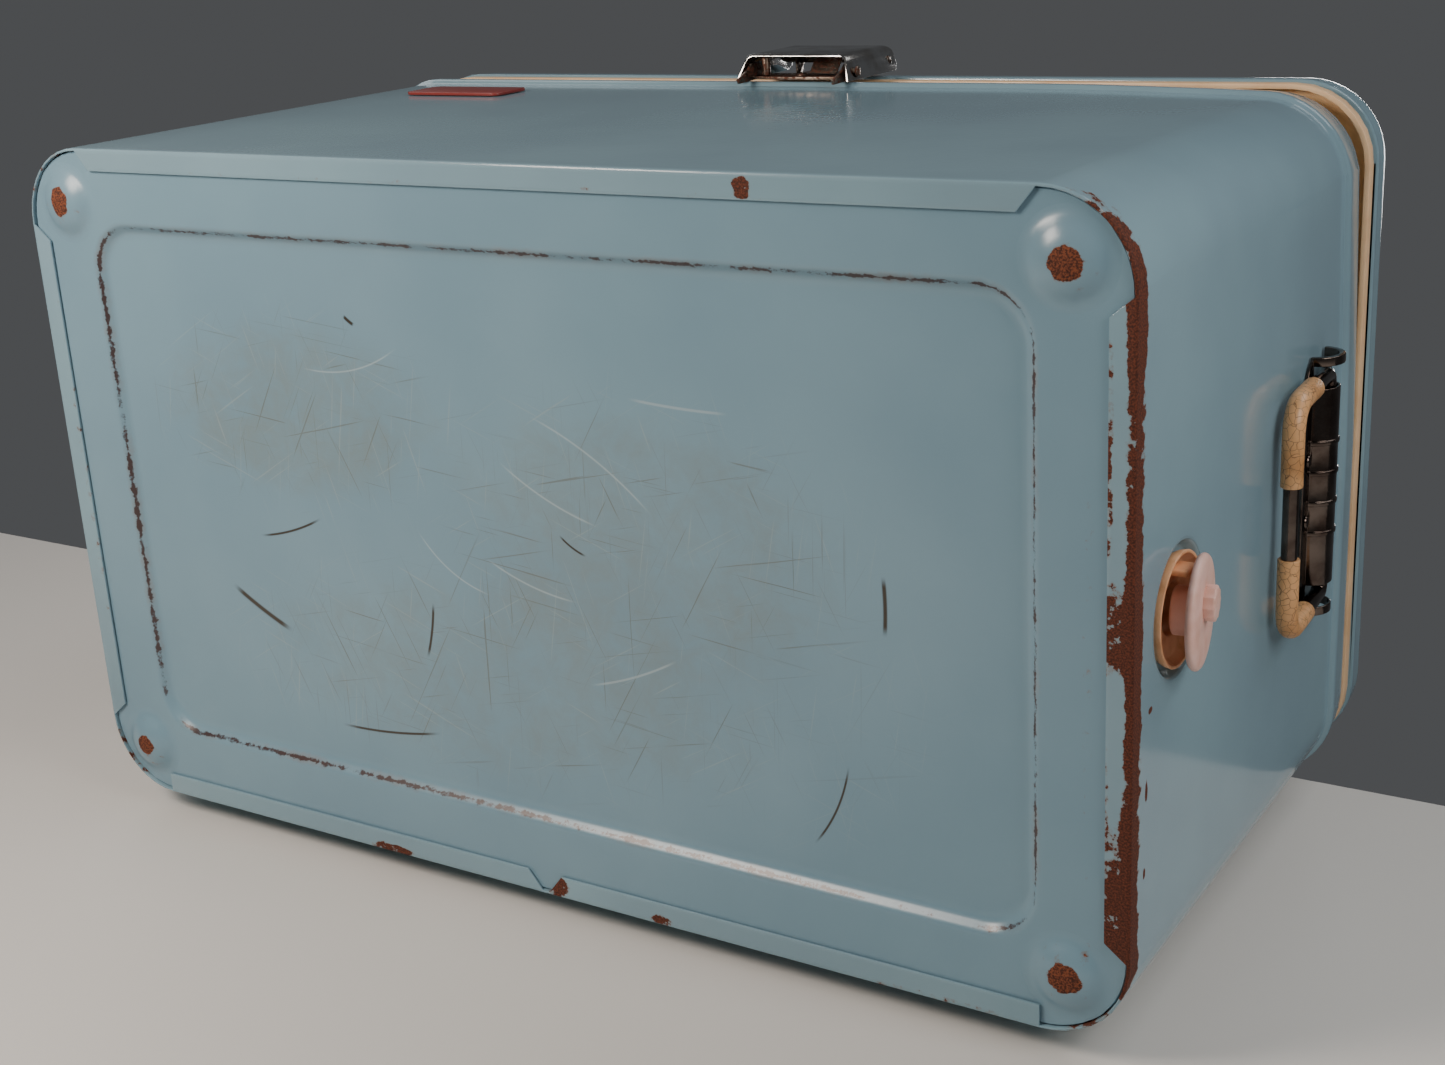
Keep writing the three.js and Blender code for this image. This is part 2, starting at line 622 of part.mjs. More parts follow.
function hinge(side, x) {
  const half = HINGE_WIDTH / 2;
  const third = HINGE_WIDTH / 6;
  const bodyOut = BAND_STEP + GAP;
  const lidOut = HEM_BULGE + GAP;
  const low = HINGE_Z - BODY_LEAF_DROP;
  const bend = HINGE_Z - HINGE_BARREL;
  const bodyPlate = [
    [bodyOut, low], [bodyOut + LEAF, low], [bodyOut + LEAF, bend - LEAF], [bodyOut, bend - LEAF],
  ];
  const bodyWeb = [
    [bodyOut, bend - 2 * LEAF], [bodyOut + LEAF, bend - 2 * LEAF],
    [HINGE_OFFSET + HINGE_BARREL * 0.8, HINGE_Z - 2],
    [HINGE_OFFSET - HINGE_BARREL * 0.8, HINGE_Z],
  ];
  const lidPlate = [
    [lidOut, HINGE_Z + LEAF], [lidOut + LEAF, HINGE_Z + LEAF], [lidOut + LEAF, HINGE_Z + LID_LEAF_RISE],
    [lidOut, HINGE_Z + LID_LEAF_RISE],
  ];
  const lidWeb = [
    [lidOut, HINGE_Z + 2 * LEAF], [lidOut, HINGE_Z + LEAF], [HINGE_OFFSET - HINGE_BARREL * 0.6, HINGE_Z - 1],
    [HINGE_OFFSET, HINGE_Z + HINGE_BARREL * 0.8], [lidOut + LEAF, HINGE_Z + 3 * LEAF],
  ].reverse();
  const bore = solid(alongBack(barrelShape(HINGE_PIN + RUN), x - half - OVERCUT, x + half + OVERCUT));
  let bodyLeaf = solid(alongBack(bodyPlate, x - half, x + half));
  for (const [from, to] of [[x - half, x - third - GAP], [x + third + GAP, x + half]]) {
    bodyLeaf = bodyLeaf.add(solid(alongBack(barrelShape(HINGE_BARREL), from, to)));
    bodyLeaf = bodyLeaf.add(solid(alongBack(bodyWeb, from, to)));
  }
  let lidLeaf = solid(alongBack(lidPlate, x - half, x + half));
  lidLeaf = lidLeaf.add(solid(alongBack(barrelShape(HINGE_BARREL), x - third, x + third)));
  lidLeaf = lidLeaf.add(solid(alongBack(lidWeb, x - third, x + third)));
  const pin = cylinderX(x - half - LEAF, x + half + LEAF, HINGE_PIN, HINGE_Y, HINGE_Z, 16);
  const pieces = [
    piece(`hinge_${side}_body_leaf`, geometryOf(bodyLeaf.subtract(bore)), zincSteel()),
    piece(`hinge_${side}_lid_leaf`, geometryOf(lidLeaf.subtract(bore)), zincSteel()),
    piece(`hinge_${side}_pin`, pin, zincSteel()),
  ];
  const outward = new THREE.Vector3(0, 1, 0);
  const bodyRivetZ = low + BODY_LEAF_DROP * 0.25;
  const lidRivetZ = HINGE_Z + LID_LEAF_RISE * 0.68;
  [-1, 1].forEach((direction, i) => {
    const rivetX = x + (direction * HINGE_RIVET_SPACING) / 2;
    pieces.push(rivetOnWall(
      `hinge_${side}_body_rivet_${i + 1}`,
      new THREE.Vector3(rivetX, BACK, bodyRivetZ),
      outward,
      bodyOut + LEAF + GAP,
    ));
    pieces.push(rivetOnWall(
      `hinge_${side}_lid_rivet_${i + 1}`,
      new THREE.Vector3(rivetX, BACK, lidRivetZ),
      outward,
      lidOut + LEAF + GAP,
    ));
  });
  return pieces;
}

// ---------------------------------------------------------------- latch

// Half-breadth of the cover's flange at a distance in front of the wall.
function flangeHalf(out) {
  const depth = LATCH_FACE_OUT - LATCH_CORNER - LATCH_STANDOFF;
  const share = (LATCH_FACE_OUT - LATCH_CORNER - out) / depth;
  return LATCH_WIDTH / 2 + LATCH_FLARE * Math.max(share, 0);
}

// The cover's cross-section seen from above, shrunk by an inset, as [x, -out] points.
function latchSection(inset, backOut) {
  const half = LATCH_WIDTH / 2 - inset;
  const round = Math.max(LATCH_CORNER - inset, 1);
  const face = LATCH_FACE_OUT - inset;
  const left = arc(-half + round, -(face - round), round, 180, 270, 4);
  const right = arc(half - round, -(face - round), round, 270, 360, 4);
  const back = flangeHalf(backOut) - inset;
  return [[-back, -backOut], ...left, ...right, [back, -backOut]];
}

function latchCover() {
  const low = LATCH_LIP_Z - LATCH_TAIL - OVERCUT;
  const high = LATCH_PIVOT_Z + LATCH_ROUND + OVERCUT;
  const upright = (points) => {
    const geometry = extrude(points, high - low);
    geometry.translate(LATCH_X, FRONT, low);
    return solid(geometry);
  };
  const reach = LATCH_WIDTH;
  const backAngle = 180 - THREE.MathUtils.radToDeg(
    Math.acos(Math.min((LATCH_PIVOT_OUT - LATCH_STANDOFF) / LATCH_ROUND, 1)),
  );
  const sideOuter = [
    [LATCH_STANDOFF, LATCH_LIP_Z - LATCH_TAIL], [LATCH_FACE_OUT, LATCH_LIP_Z],
    ...arc(LATCH_PIVOT_OUT, LATCH_PIVOT_Z, LATCH_ROUND, 0, backAngle, 10),
  ];
  const hollow = LATCH_ROUND - LATCH_SHEET;
  const sideInner = [
    [-OVERCUT, low - OVERCUT], [LATCH_FACE_OUT - LATCH_SHEET, low - OVERCUT],
    ...arc(LATCH_PIVOT_OUT, LATCH_PIVOT_Z, hollow, 0, LATCH_OPEN_ANGLE, 7),
    [LATCH_PIVOT_OUT + hollow * Math.cos(THREE.MathUtils.degToRad(LATCH_OPEN_ANGLE)), high + OVERCUT],
    [-OVERCUT, high + OVERCUT],
  ];
  const outer = upright(latchSection(0, LATCH_STANDOFF))
    .intersect(solid(alongFront(sideOuter, LATCH_X - reach, LATCH_X + reach)));
  const inner = upright(latchSection(LATCH_SHEET, LATCH_STANDOFF - OVERCUT))
    .intersect(solid(alongFront(sideInner, LATCH_X - reach, LATCH_X + reach)));
  const pivotY = FRONT - LATCH_PIVOT_OUT;
  const bore = cylinderX(LATCH_X - reach, LATCH_X + reach, LATCH_PIN + RUN, pivotY, LATCH_PIVOT_Z, 16);
  const cover = outer.subtract(inner).subtract(solid(bore));
  return piece('latch_cover', geometryOf(cover), chrome());
}

function latchBase() {
  const out = HEM_BULGE + GAP;
  const half = LATCH_BASE_WIDTH / 2;
  const low = LATCH_PIVOT_Z - LATCH_BASE_FOOT;
  const plate = [
    [out, low], [out + LATCH_BASE_THICKNESS, low],
    [out + LATCH_BASE_THICKNESS, LATCH_PIVOT_Z + LATCH_BASE_TOP],
    [out, LATCH_PIVOT_Z + LATCH_BASE_TOP],
  ];
  const ear = [
    [out, low], [LATCH_PIVOT_OUT, LATCH_PIVOT_Z - LATCH_EAR],
    ...arc(LATCH_PIVOT_OUT, LATCH_PIVOT_Z, LATCH_EAR, -60, 150, 8), [out, LATCH_PIVOT_Z + LATCH_SHEET],
  ];
  let base = solid(alongFront(plate, LATCH_X - half, LATCH_X + half));
  for (const [from, to] of [[-half, -half + LATCH_SHEET], [half - LATCH_SHEET, half]]) {
    base = base.add(solid(alongFront(ear, LATCH_X + from, LATCH_X + to)));
  }
  const bore = cylinderX(
    LATCH_X - half - OVERCUT,
    LATCH_X + half + OVERCUT,
    LATCH_PIN + RUN,
    FRONT - LATCH_PIVOT_OUT,
    LATCH_PIVOT_Z,
    16,
  );
  return piece('latch_base', geometryOf(base.subtract(solid(bore))), zincSteel());
}

function latchPin() {
  const half = flangeHalf(LATCH_PIVOT_OUT);
  const pivotY = FRONT - LATCH_PIVOT_OUT;
  const pin = cylinderX(LATCH_X - half, LATCH_X + half, LATCH_PIN, pivotY, LATCH_PIVOT_Z, 16);
  return piece('latch_pin', pin, zincSteel());
}

// The catch yoke: a bowed plate that faces the rim band, and an ear inside each flange of the cover.
function latchCatch() {
  const half = flangeHalf(LATCH_FACE_OUT - LATCH_CORNER) - LATCH_SHEET - 2 * GAP;
  const low = LATCH_LIP_Z - CATCH_BOW / 2;
  const front = CATCH_STANDOFF + LATCH_SHEET;
  const bowRadius = (half * half) / (2 * CATCH_BOW);
  const bowAngle = THREE.MathUtils.radToDeg((2 * CATCH_BOW) / half);
  const plate = [
    ...arc(0, low + CATCH_BOW + bowRadius, bowRadius + CATCH_BOW / 2, -90 - bowAngle, -90 + bowAngle, 10),
    [half, low + CATCH_HEIGHT], [-half, low + CATCH_HEIGHT],
  ];
  const sheet = extrude(plate, LATCH_SHEET);
  sheet.rotateX(Math.PI / 2);
  sheet.translate(LATCH_X, FRONT - CATCH_STANDOFF, 0);
  const tip = LATCH_LIP_Z - 2 * LATCH_TAIL;
  const ear = [
    [CATCH_STANDOFF - 1, tip], [front, tip - 1], [LATCH_PIVOT_OUT - 1, LATCH_LIP_Z - LATCH_TAIL / 2],
    [LATCH_FACE_OUT - LATCH_CORNER, LATCH_LIP_Z + 1], [LATCH_FACE_OUT - LATCH_CORNER, LATCH_LIP_Z + 8],
    [front, low + CATCH_HEIGHT], [CATCH_STANDOFF, low + CATCH_HEIGHT],
  ];
  let yoke = solid(sheet);
  for (const [from, to] of [[-half, -half + LATCH_SHEET], [half - LATCH_SHEET, half]]) {
    yoke = yoke.add(solid(alongFront(ear, LATCH_X + from, LATCH_X + to)));
  }
  return piece('latch_catch', geometryOf(yoke), zincSteel());
}

function latchFittings() {
  const pieces = [];
  const sideRivetOut = LATCH_PIVOT_OUT - SIDE_RIVET_BACK;
  const out = new THREE.Vector3(0, -1, 0);
  const rivetZ = LATCH_PIVOT_Z + LATCH_BASE_TOP - RIVET_HEAD;
  [0, 1].forEach((place) => {
    pieces.push(rivetOnWall(
      `latch_catch_rivet_${place + 1}`,
      new THREE.Vector3(LATCH_X + place * CATCH_RIVET_SPACING, FRONT, LATCH_LIP_Z + 2 * RIVET_HEAD),
      out,
      CATCH_STANDOFF + LATCH_SHEET + GAP,
    ));
  });
  [-1, 1].forEach((side, i) => {
    pieces.push(rivetOnWall(
      `latch_side_rivet_${i + 1}`,
      new THREE.Vector3(LATCH_X, FRONT - sideRivetOut, LATCH_LIP_Z - LATCH_TAIL + SIDE_RIVET_RISE),
      new THREE.Vector3(side, 0, 0),
      flangeHalf(sideRivetOut - RIVET_HEAD) + GAP,
    ));
    pieces.push(rivetOnWall(
      `latch_base_rivet_${i + 1}`,
      new THREE.Vector3(LATCH_X + side * LATCH_BASE_WIDTH * 0.3, FRONT, rivetZ),
      out,
      HEM_BULGE + GAP + LATCH_BASE_THICKNESS + GAP,
    ));
  });
  const post = new THREE.CylinderGeometry(
    POST_RADIUS,
    POST_RADIUS,
    LATCH_FACE_OUT - LATCH_SHEET - CATCH_STANDOFF - LATCH_SHEET - 2 * GAP,
    16,
  );
  post.translate(
    LATCH_X + POST_OFFSET,
    FRONT - (LATCH_FACE_OUT + CATCH_STANDOFF) / 2,
    LATCH_LIP_Z + 2 * POST_RADIUS,
  );
  const spring = [
    [LATCH_FACE_OUT - LATCH_SHEET - GAP, LATCH_LIP_Z + 26],
    [LATCH_FACE_OUT - LATCH_SHEET - GAP, LATCH_LIP_Z + 14],
    [CATCH_STANDOFF + LATCH_SHEET + 3 * GAP, LATCH_LIP_Z + 6],
    [CATCH_STANDOFF + LATCH_SHEET + 3 * GAP, LATCH_LIP_Z + 6 + SPRING_THICKNESS],
    [LATCH_FACE_OUT - LATCH_SHEET - GAP - SPRING_THICKNESS, LATCH_LIP_Z + 14 + SPRING_THICKNESS],
    [LATCH_FACE_OUT - LATCH_SHEET - GAP - SPRING_THICKNESS, LATCH_LIP_Z + 26],
  ].reverse();
  const springX = LATCH_X + SPRING_OFFSET;
  const leaf = alongFront(spring, springX - SPRING_WIDTH / 2, springX + SPRING_WIDTH / 2);
  pieces.push(piece('latch_post', post, zincSteel()));
  pieces.push(piece('latch_spring', leaf, zincSteel()));
  return pieces;
}

// ---------------------------------------------------------------- handles

// The bail's middle line: y along the grip, x out from the wall, z up, with its pivot at z = 0.
function bailParts() {
  const lean = (BAIL_GRIP_OUT - BAIL_PIVOT_OUT) / BAIL_DROP;
  const at = (y, drop) => new THREE.Vector3(BAIL_PIVOT_OUT + lean * drop, y, -drop);
  const half = BAIL_HALF_LENGTH;
  const stubEnd = half - BAIL_STUB;
  const stubBend = half - BAIL_STUB_BEND;
  const gripEnd = half - BAIL_CORNER;
  const armEnd = BAIL_DROP - BAIL_CORNER;
  return {
    frontStub: new THREE.LineCurve3(at(-stubEnd, 0), at(-stubBend, 0)),
    frontBend: new THREE.QuadraticBezierCurve3(at(-stubBend, 0), at(-half, 0), at(-half, BAIL_STUB_BEND)),
    frontArm: new THREE.LineCurve3(at(-half, BAIL_STUB_BEND), at(-half, armEnd)),
    frontCorner: new THREE.QuadraticBezierCurve3(
      at(-half, armEnd), at(-half, BAIL_DROP), at(-gripEnd, BAIL_DROP),
    ),
    grip: new THREE.LineCurve3(at(-gripEnd, BAIL_DROP), at(gripEnd, BAIL_DROP)),
    backCorner: new THREE.QuadraticBezierCurve3(
      at(gripEnd, BAIL_DROP), at(half, BAIL_DROP), at(half, armEnd),
    ),
    backArm: new THREE.LineCurve3(at(half, armEnd), at(half, BAIL_STUB_BEND)),
    backBend: new THREE.QuadraticBezierCurve3(at(half, BAIL_STUB_BEND), at(half, 0), at(stubBend, 0)),
    backStub: new THREE.LineCurve3(at(stubBend, 0), at(stubEnd, 0)),
    frontSleeveArm: new THREE.LineCurve3(at(-half, armEnd - GRIP_RISE), at(-half, armEnd)),
    frontSleeveGrip: new THREE.LineCurve3(at(-gripEnd, BAIL_DROP), at(GRIP_REACH - half, BAIL_DROP)),
    backSleeveGrip: new THREE.LineCurve3(at(half - GRIP_REACH, BAIL_DROP), at(gripEnd, BAIL_DROP)),
    backSleeveArm: new THREE.LineCurve3(at(half, armEnd), at(half, armEnd - GRIP_RISE)),
  };
}

// Rings swept along a chain of lines and bends: a line needs one step and a bend needs several. The
// chain lies in one plane, so every ring is set across it from that plane's own normal.
function sweep(parts, radius, segments) {
  const stops = [];
  for (const part of parts) {
    const steps = part.isLineCurve3 ? 1 : 5;
    for (let step = stops.length ? 1 : 0; step <= steps; step += 1) {
      stops.push({ point: part.getPoint(step / steps), along: part.getTangent(step / steps) });
    }
  }
  const across = new THREE.Vector3(BAIL_DROP, 0, BAIL_GRIP_OUT - BAIL_PIVOT_OUT).normalize();
  const positions = [];
  const index = [];
  for (const { point, along } of stops) {
    const beside = new THREE.Vector3().crossVectors(along, across).normalize();
    for (let i = 0; i < segments; i += 1) {
      const angle = (2 * Math.PI * i) / segments;
      const spoke = across.clone().multiplyScalar(Math.cos(angle)).addScaledVector(beside, Math.sin(angle));
      const ring = point.clone().addScaledVector(spoke, radius);
      positions.push(ring.x, ring.y, ring.z);
    }
  }
  const last = stops.length - 1;
  for (let stop = 0; stop < last; stop += 1) {
    for (let i = 0; i < segments; i += 1) {
      const j = (i + 1) % segments;
      const low = stop * segments;
      const high = low + segments;
      index.push(low + i, high + j, high + i, low + i, low + j, high + j);
    }
  }
  for (let i = 1; i < segments - 1; i += 1) {
    index.push(0, i + 1, i, last * segments, last * segments + i, last * segments + i + 1);
  }
  const geometry = new THREE.BufferGeometry();
  geometry.setAttribute('position', new THREE.Float32BufferAttribute(positions, 3));
  geometry.setIndex(index);
  return geometry;
}

// A half-round tube on the wall, along Y: the half circle is centred on the wall plane.
function halfRound(radius, from, to) {
  const points = [[-OVERCUT, -radius], ...arc(0, 0, radius, -90, 90, 12), [-OVERCUT, radius]];
  const geometry = extrude(points, to - from);
  geometry.rotateX(Math.PI / 2);
  geometry.translate(0, to, 0);
  return geometry;
}

function bracket() {
  const half = BRACKET_LENGTH / 2;
  const inner = BAIL_PIVOT_OUT + BAIL_RADIUS + RUN;
  const outer = inner + BRACKET_SHEET;
  const plate = new THREE.ExtrudeGeometry(
    new THREE.Shape(outline(BRACKET_LENGTH, BRACKET_WIDTH, BRACKET_CORNER, 5)),
    { depth: BRACKET_SHEET, bevelEnabled: false },
  );
  plate.rotateZ(Math.PI / 2);
  plate.rotateY(Math.PI / 2);
  plate.translate(GAP, 0, 0);
  let body = solid(plate);
  const hoods = [
    [outer, -HOOD_LENGTH / 2, HOOD_LENGTH / 2],
    [outer + OPENER_RISE, -half, -half + HOOP_WIDTH],
    [outer, half - HOOP_WIDTH, half],
  ];
  for (const [radius, from, to] of hoods) body = body.add(solid(halfRound(radius, from, to)));
  for (let i = 0; i < RIB_COUNT; i += 1) {
    const y = (i - (RIB_COUNT - 1) / 2) * RIB_SPACING;
    body = body.add(solid(halfRound(outer + BRACKET_SHEET / 2, y - 1, y + 1)));
  }
  const behind = block([-2 * half, -2 * half, -2 * half], [GAP, 2 * half, 2 * half]);
  body = body.subtract(solid(halfRound(inner, -half - OVERCUT, half + OVERCUT))).subtract(solid(behind));
  return geometryOf(body);
}

function handle(side, outward) {
  const parts = bailParts();
  const rodPath = [
    parts.frontStub, parts.frontBend, parts.frontArm, parts.frontCorner, parts.grip,
    parts.backCorner, parts.backArm, parts.backBend, parts.backStub,
  ];
  const frontPath = [parts.frontSleeveArm, parts.frontCorner, parts.frontSleeveGrip];
  const backPath = [parts.backSleeveGrip, parts.backCorner, parts.backSleeveArm];
  const core = solid(sweep(rodPath, BAIL_RADIUS + GAP, 12));
  const sleeve = (path) => geometryOf(solid(sweep(path, BAIL_RADIUS + GAP + GRIP_WALL, 12)).subtract(core));
  const pieces = [
    piece(`handle_${side}_bracket`, bracket(), chrome()),
    piece(`handle_${side}_bail`, sweep(rodPath, BAIL_RADIUS, 12), chrome()),
    piece(`handle_${side}_grip_front`, sleeve(frontPath), creamPlastic()),
    piece(`handle_${side}_grip_back`, sleeve(backPath), creamPlastic()),
  ];
  [-1, 1].forEach((direction, i) => {
    pieces.push(rivetOnWall(
      `handle_${side}_rivet_${i + 1}`,
      new THREE.Vector3(0, direction * HANDLE_RIVET_OFFSET, -HANDLE_RIVET_DROP),
      new THREE.Vector3(1, 0, 0),
      GAP + BRACKET_SHEET + GAP,
    ));
  });
  const wall = new THREE.Matrix4().makeTranslation(SIDE, 0, HANDLE_HEIGHT);
  const mirror = new THREE.Matrix4().makeScale(outward, 1, 1);
  for (const part of pieces) {
    part.updateMatrix();
    part.geometry = part.geometry.clone().applyMatrix4(part.matrix).applyMatrix4(wall).applyMatrix4(mirror);
    if (outward < 0) flipFaces(part.geometry);
    part.position.set(0, 0, 0);
    part.quaternion.identity();
  }
  return pieces;
}

// A mirrored shape is inside out until the corners of each triangle are taken in the other order.
function flipFaces(geometry) {
  const index = geometry.index.array;
  for (let i = 0; i < index.length; i += 3) {
    [index[i + 1], index[i + 2]] = [index[i + 2], index[i + 1]];
  }
}

// ---------------------------------------------------------------- drain

function drain() {
  const bed = DIMPLE_FLOOR_X + GAP;
  const rim = SIDE + COLLAR_RISE;
  const inside = SIDE - WALL_THICKNESS;
  const washer = inside - GAP - WASHER_THICKNESS;
  const nut = washer - GAP - NUT_LENGTH;
  const spoutEnd = nut - SPOUT_OVERHANG;
  const capBack = SIDE + CAP_STANDOFF;
  const capFace = capBack + CAP_THICKNESS;
  const base = COLLAR_RADIUS - DIMPLE_TAPER;
  const collar = turnedX([
    [spoutEnd, SPOUT_BORE], [spoutEnd, SPOUT_RADIUS], [bed, SPOUT_RADIUS], [bed, base], [rim, COLLAR_RADIUS],
    [rim, COLLAR_RADIUS - COLLAR_WALL], [bed + COLLAR_FLOOR, base - COLLAR_WALL],
    [bed + COLLAR_FLOOR, SPOUT_BORE], [spoutEnd, SPOUT_BORE],
  ], 0, DRAIN_HEIGHT);
  const cap = solid(turnedX([
    [capBack - STEM_LENGTH, 0], [capBack - STEM_LENGTH, SPOUT_BORE - GAP - 1],
    [capBack - STEM_LENGTH + 1, SPOUT_BORE - GAP], [capBack, SPOUT_BORE - GAP],
    [capBack, CAP_RADIUS - CAP_ROUND], [capBack + CAP_ROUND * 0.4, CAP_RADIUS - CAP_ROUND * 0.3],
    [capBack + CAP_THICKNESS / 2, CAP_RADIUS], [capFace - CAP_ROUND * 0.4, CAP_RADIUS - CAP_ROUND * 0.3],
    [capFace, CAP_RADIUS - CAP_ROUND], [capFace, 0],
  ], 0, DRAIN_HEIGHT));
  const knob = cylinderX(capFace - 1, capFace + KNOB_HEIGHT, KNOB_RADIUS, -KNOB_OFFSET, DRAIN_HEIGHT, 18);
  const half = STRAP_WIDTH / 2;
  const strap = block(
    [bed + COLLAR_FLOOR + GAP, -base + COLLAR_WALL + 2, DRAIN_HEIGHT - half],
    [capBack - GAP, -base + COLLAR_WALL + 2 + STRAP_THICKNESS, DRAIN_HEIGHT + half],
  );
  const washerRing = turnedX([
    [washer, SPOUT_RADIUS + GAP], [washer, NUT_RADIUS], [inside - GAP, NUT_RADIUS],
    [inside - GAP, SPOUT_RADIUS + GAP], [washer, SPOUT_RADIUS + GAP],
  ], 0, DRAIN_HEIGHT);
  const nutBlank = solid(cylinderX(nut, washer - GAP, NUT_RADIUS, 0, DRAIN_HEIGHT, 6));
  const nutBore = solid(cylinderX(nut - OVERCUT, washer, SPOUT_RADIUS + GAP, 0, DRAIN_HEIGHT, 32));
  return [
    piece('drain_collar', collar, creamPlastic()),
    piece('drain_cap', geometryOf(cap.add(solid(knob))), creamPlastic()),
    piece('drain_strap', strap, creamPlastic()),
    piece('drain_washer', washerRing, rubber()),
    piece('drain_nut', geometryOf(nutBlank.subtract(nutBore)), creamPlastic()),
  ];
}

// ---------------------------------------------------------------- badge and tray

function badge() {
  const geometry = new THREE.ExtrudeGeometry(
    new THREE.Shape(outline(BADGE_WIDTH, BADGE_HEIGHT, BADGE_CORNER, 5)),
    { depth: BADGE_THICKNESS, bevelEnabled: false },
  );
  geometry.rotateX(Math.PI / 2);
  geometry.translate(BADGE_X, FRONT - GAP, BADGE_Z);
  return piece('badge', geometry, badgeRed());
}

function foodTray() {
  const depth = BODY_DEPTH - 2 * UPPER_INSET - 2 * TRAY_CLEARANCE;
  const middle = -SIDE + UPPER_INSET + TRAY_CLEARANCE + TRAY_LENGTH / 2;
  const low = LEDGE_HEIGHT + GAP;
  const corner = CAVITY_CORNER - TRAY_CLEARANCE;
  const flat = (inset) => outline(TRAY_LENGTH - 2 * inset, depth - 2 * inset, corner - inset, 5);
  const geometry = loft([
    { points: flat(TRAY_DRAFT), z: low },
    { points: flat(0), z: low + TRAY_HEIGHT - TRAY_DRAFT },
    { points: flat(0), z: low + TRAY_HEIGHT },
    { points: flat(TRAY_WALL), z: low + TRAY_HEIGHT },
    { points: flat(TRAY_WALL + TRAY_DRAFT), z: low + TRAY_WALL },
  ], false);
  geometry.translate(middle, 0, 0);
  return piece('food_tray', geometry, creamPlastic());
}

// ---------------------------------------------------------------- whole chest

const chest = new THREE.Group();
chest.name = 'ice_chest';
chest.add(
  bodyWrapper(),
  bottomPanel(),
  ...bodyInsulation(),
  innerLiner(),
  lidShell(),
  lidInsulation(),
  lidLiner(),
  lidGasket(),
  ...hinge('left', -HINGE_SPACING / 2),
  ...hinge('right', HINGE_SPACING / 2),
  latchBase(),
  latchPin(),
  latchCover(),
  latchCatch(),
  ...latchFittings(),
  ...handle('right', 1),
  ...handle('left', -1),
  ...drain(),
  badge(),
  foodTray(),
);

export default chest;
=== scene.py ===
"""Looks of a painted steel picnic ice chest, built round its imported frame.

The chest is kept upright in its own frame: +Z up, the latch faces -Y and the drain is at +X. It is
shown lying on its back, seen from below, so the stage floor stands upright behind the back wall.
"""

import json
import logging
import math
from dataclasses import dataclass
from enum import Enum
from typing import Callable, Iterable, Optional, Sequence, Union

import bpy
from mathutils import Matrix, Vector

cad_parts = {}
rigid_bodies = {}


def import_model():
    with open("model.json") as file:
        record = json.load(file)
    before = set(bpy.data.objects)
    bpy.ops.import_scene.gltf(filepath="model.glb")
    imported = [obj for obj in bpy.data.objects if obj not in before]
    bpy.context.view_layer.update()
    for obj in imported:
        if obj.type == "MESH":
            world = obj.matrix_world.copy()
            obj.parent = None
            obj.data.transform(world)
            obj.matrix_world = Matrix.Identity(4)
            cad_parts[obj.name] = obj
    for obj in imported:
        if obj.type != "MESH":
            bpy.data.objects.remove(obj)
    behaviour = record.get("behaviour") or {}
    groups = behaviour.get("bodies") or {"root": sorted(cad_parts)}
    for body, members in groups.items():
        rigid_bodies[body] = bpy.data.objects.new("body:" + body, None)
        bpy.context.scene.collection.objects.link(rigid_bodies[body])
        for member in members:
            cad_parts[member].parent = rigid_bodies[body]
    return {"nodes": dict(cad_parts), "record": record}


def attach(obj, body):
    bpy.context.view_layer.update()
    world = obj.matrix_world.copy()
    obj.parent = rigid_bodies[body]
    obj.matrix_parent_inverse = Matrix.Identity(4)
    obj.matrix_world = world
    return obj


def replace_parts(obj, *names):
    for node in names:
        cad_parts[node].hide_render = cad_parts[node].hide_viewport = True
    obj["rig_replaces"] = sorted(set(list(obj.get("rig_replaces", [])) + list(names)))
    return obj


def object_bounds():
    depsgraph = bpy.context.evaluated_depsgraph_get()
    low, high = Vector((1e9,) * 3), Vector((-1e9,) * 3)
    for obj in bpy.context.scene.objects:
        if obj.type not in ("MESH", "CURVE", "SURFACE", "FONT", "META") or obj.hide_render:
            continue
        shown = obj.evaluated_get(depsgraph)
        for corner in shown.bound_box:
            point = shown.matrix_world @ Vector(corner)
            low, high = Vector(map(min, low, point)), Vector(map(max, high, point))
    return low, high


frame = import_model()
CAD_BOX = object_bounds()

LOG = logging.getLogger("ice_chest")
MM = 0.001

Socket = bpy.types.NodeSocket
Value = Union[Socket, float, int, Sequence[float]]

# A Map Range node's setting for a soft edge, and a Mix node's for colours.
SMOOTH = {"interpolation_type": "SMOOTHSTEP"}
COLOURS = {"data_type": "RGBA"}


# ---------------------------------------------------------------- colour and nodes


def linear(hex_colour: str, alpha: float = 1.0) -> tuple[float, float, float, float]:
    """Turns an sRGB hex colour to linear light.

    Args:
        hex_colour: the colour as "#rrggbb".
        alpha: its opacity.

    Returns:
        Linear red, green and blue, and the opacity.
    """
    parts = [int(hex_colour[i : i + 2], 16) / 255 for i in (1, 3, 5)]
    red, green, blue = (c / 12.92 if c <= 0.04045 else ((c + 0.055) / 1.055) ** 2.4 for c in parts)
    return red, green, blue, alpha


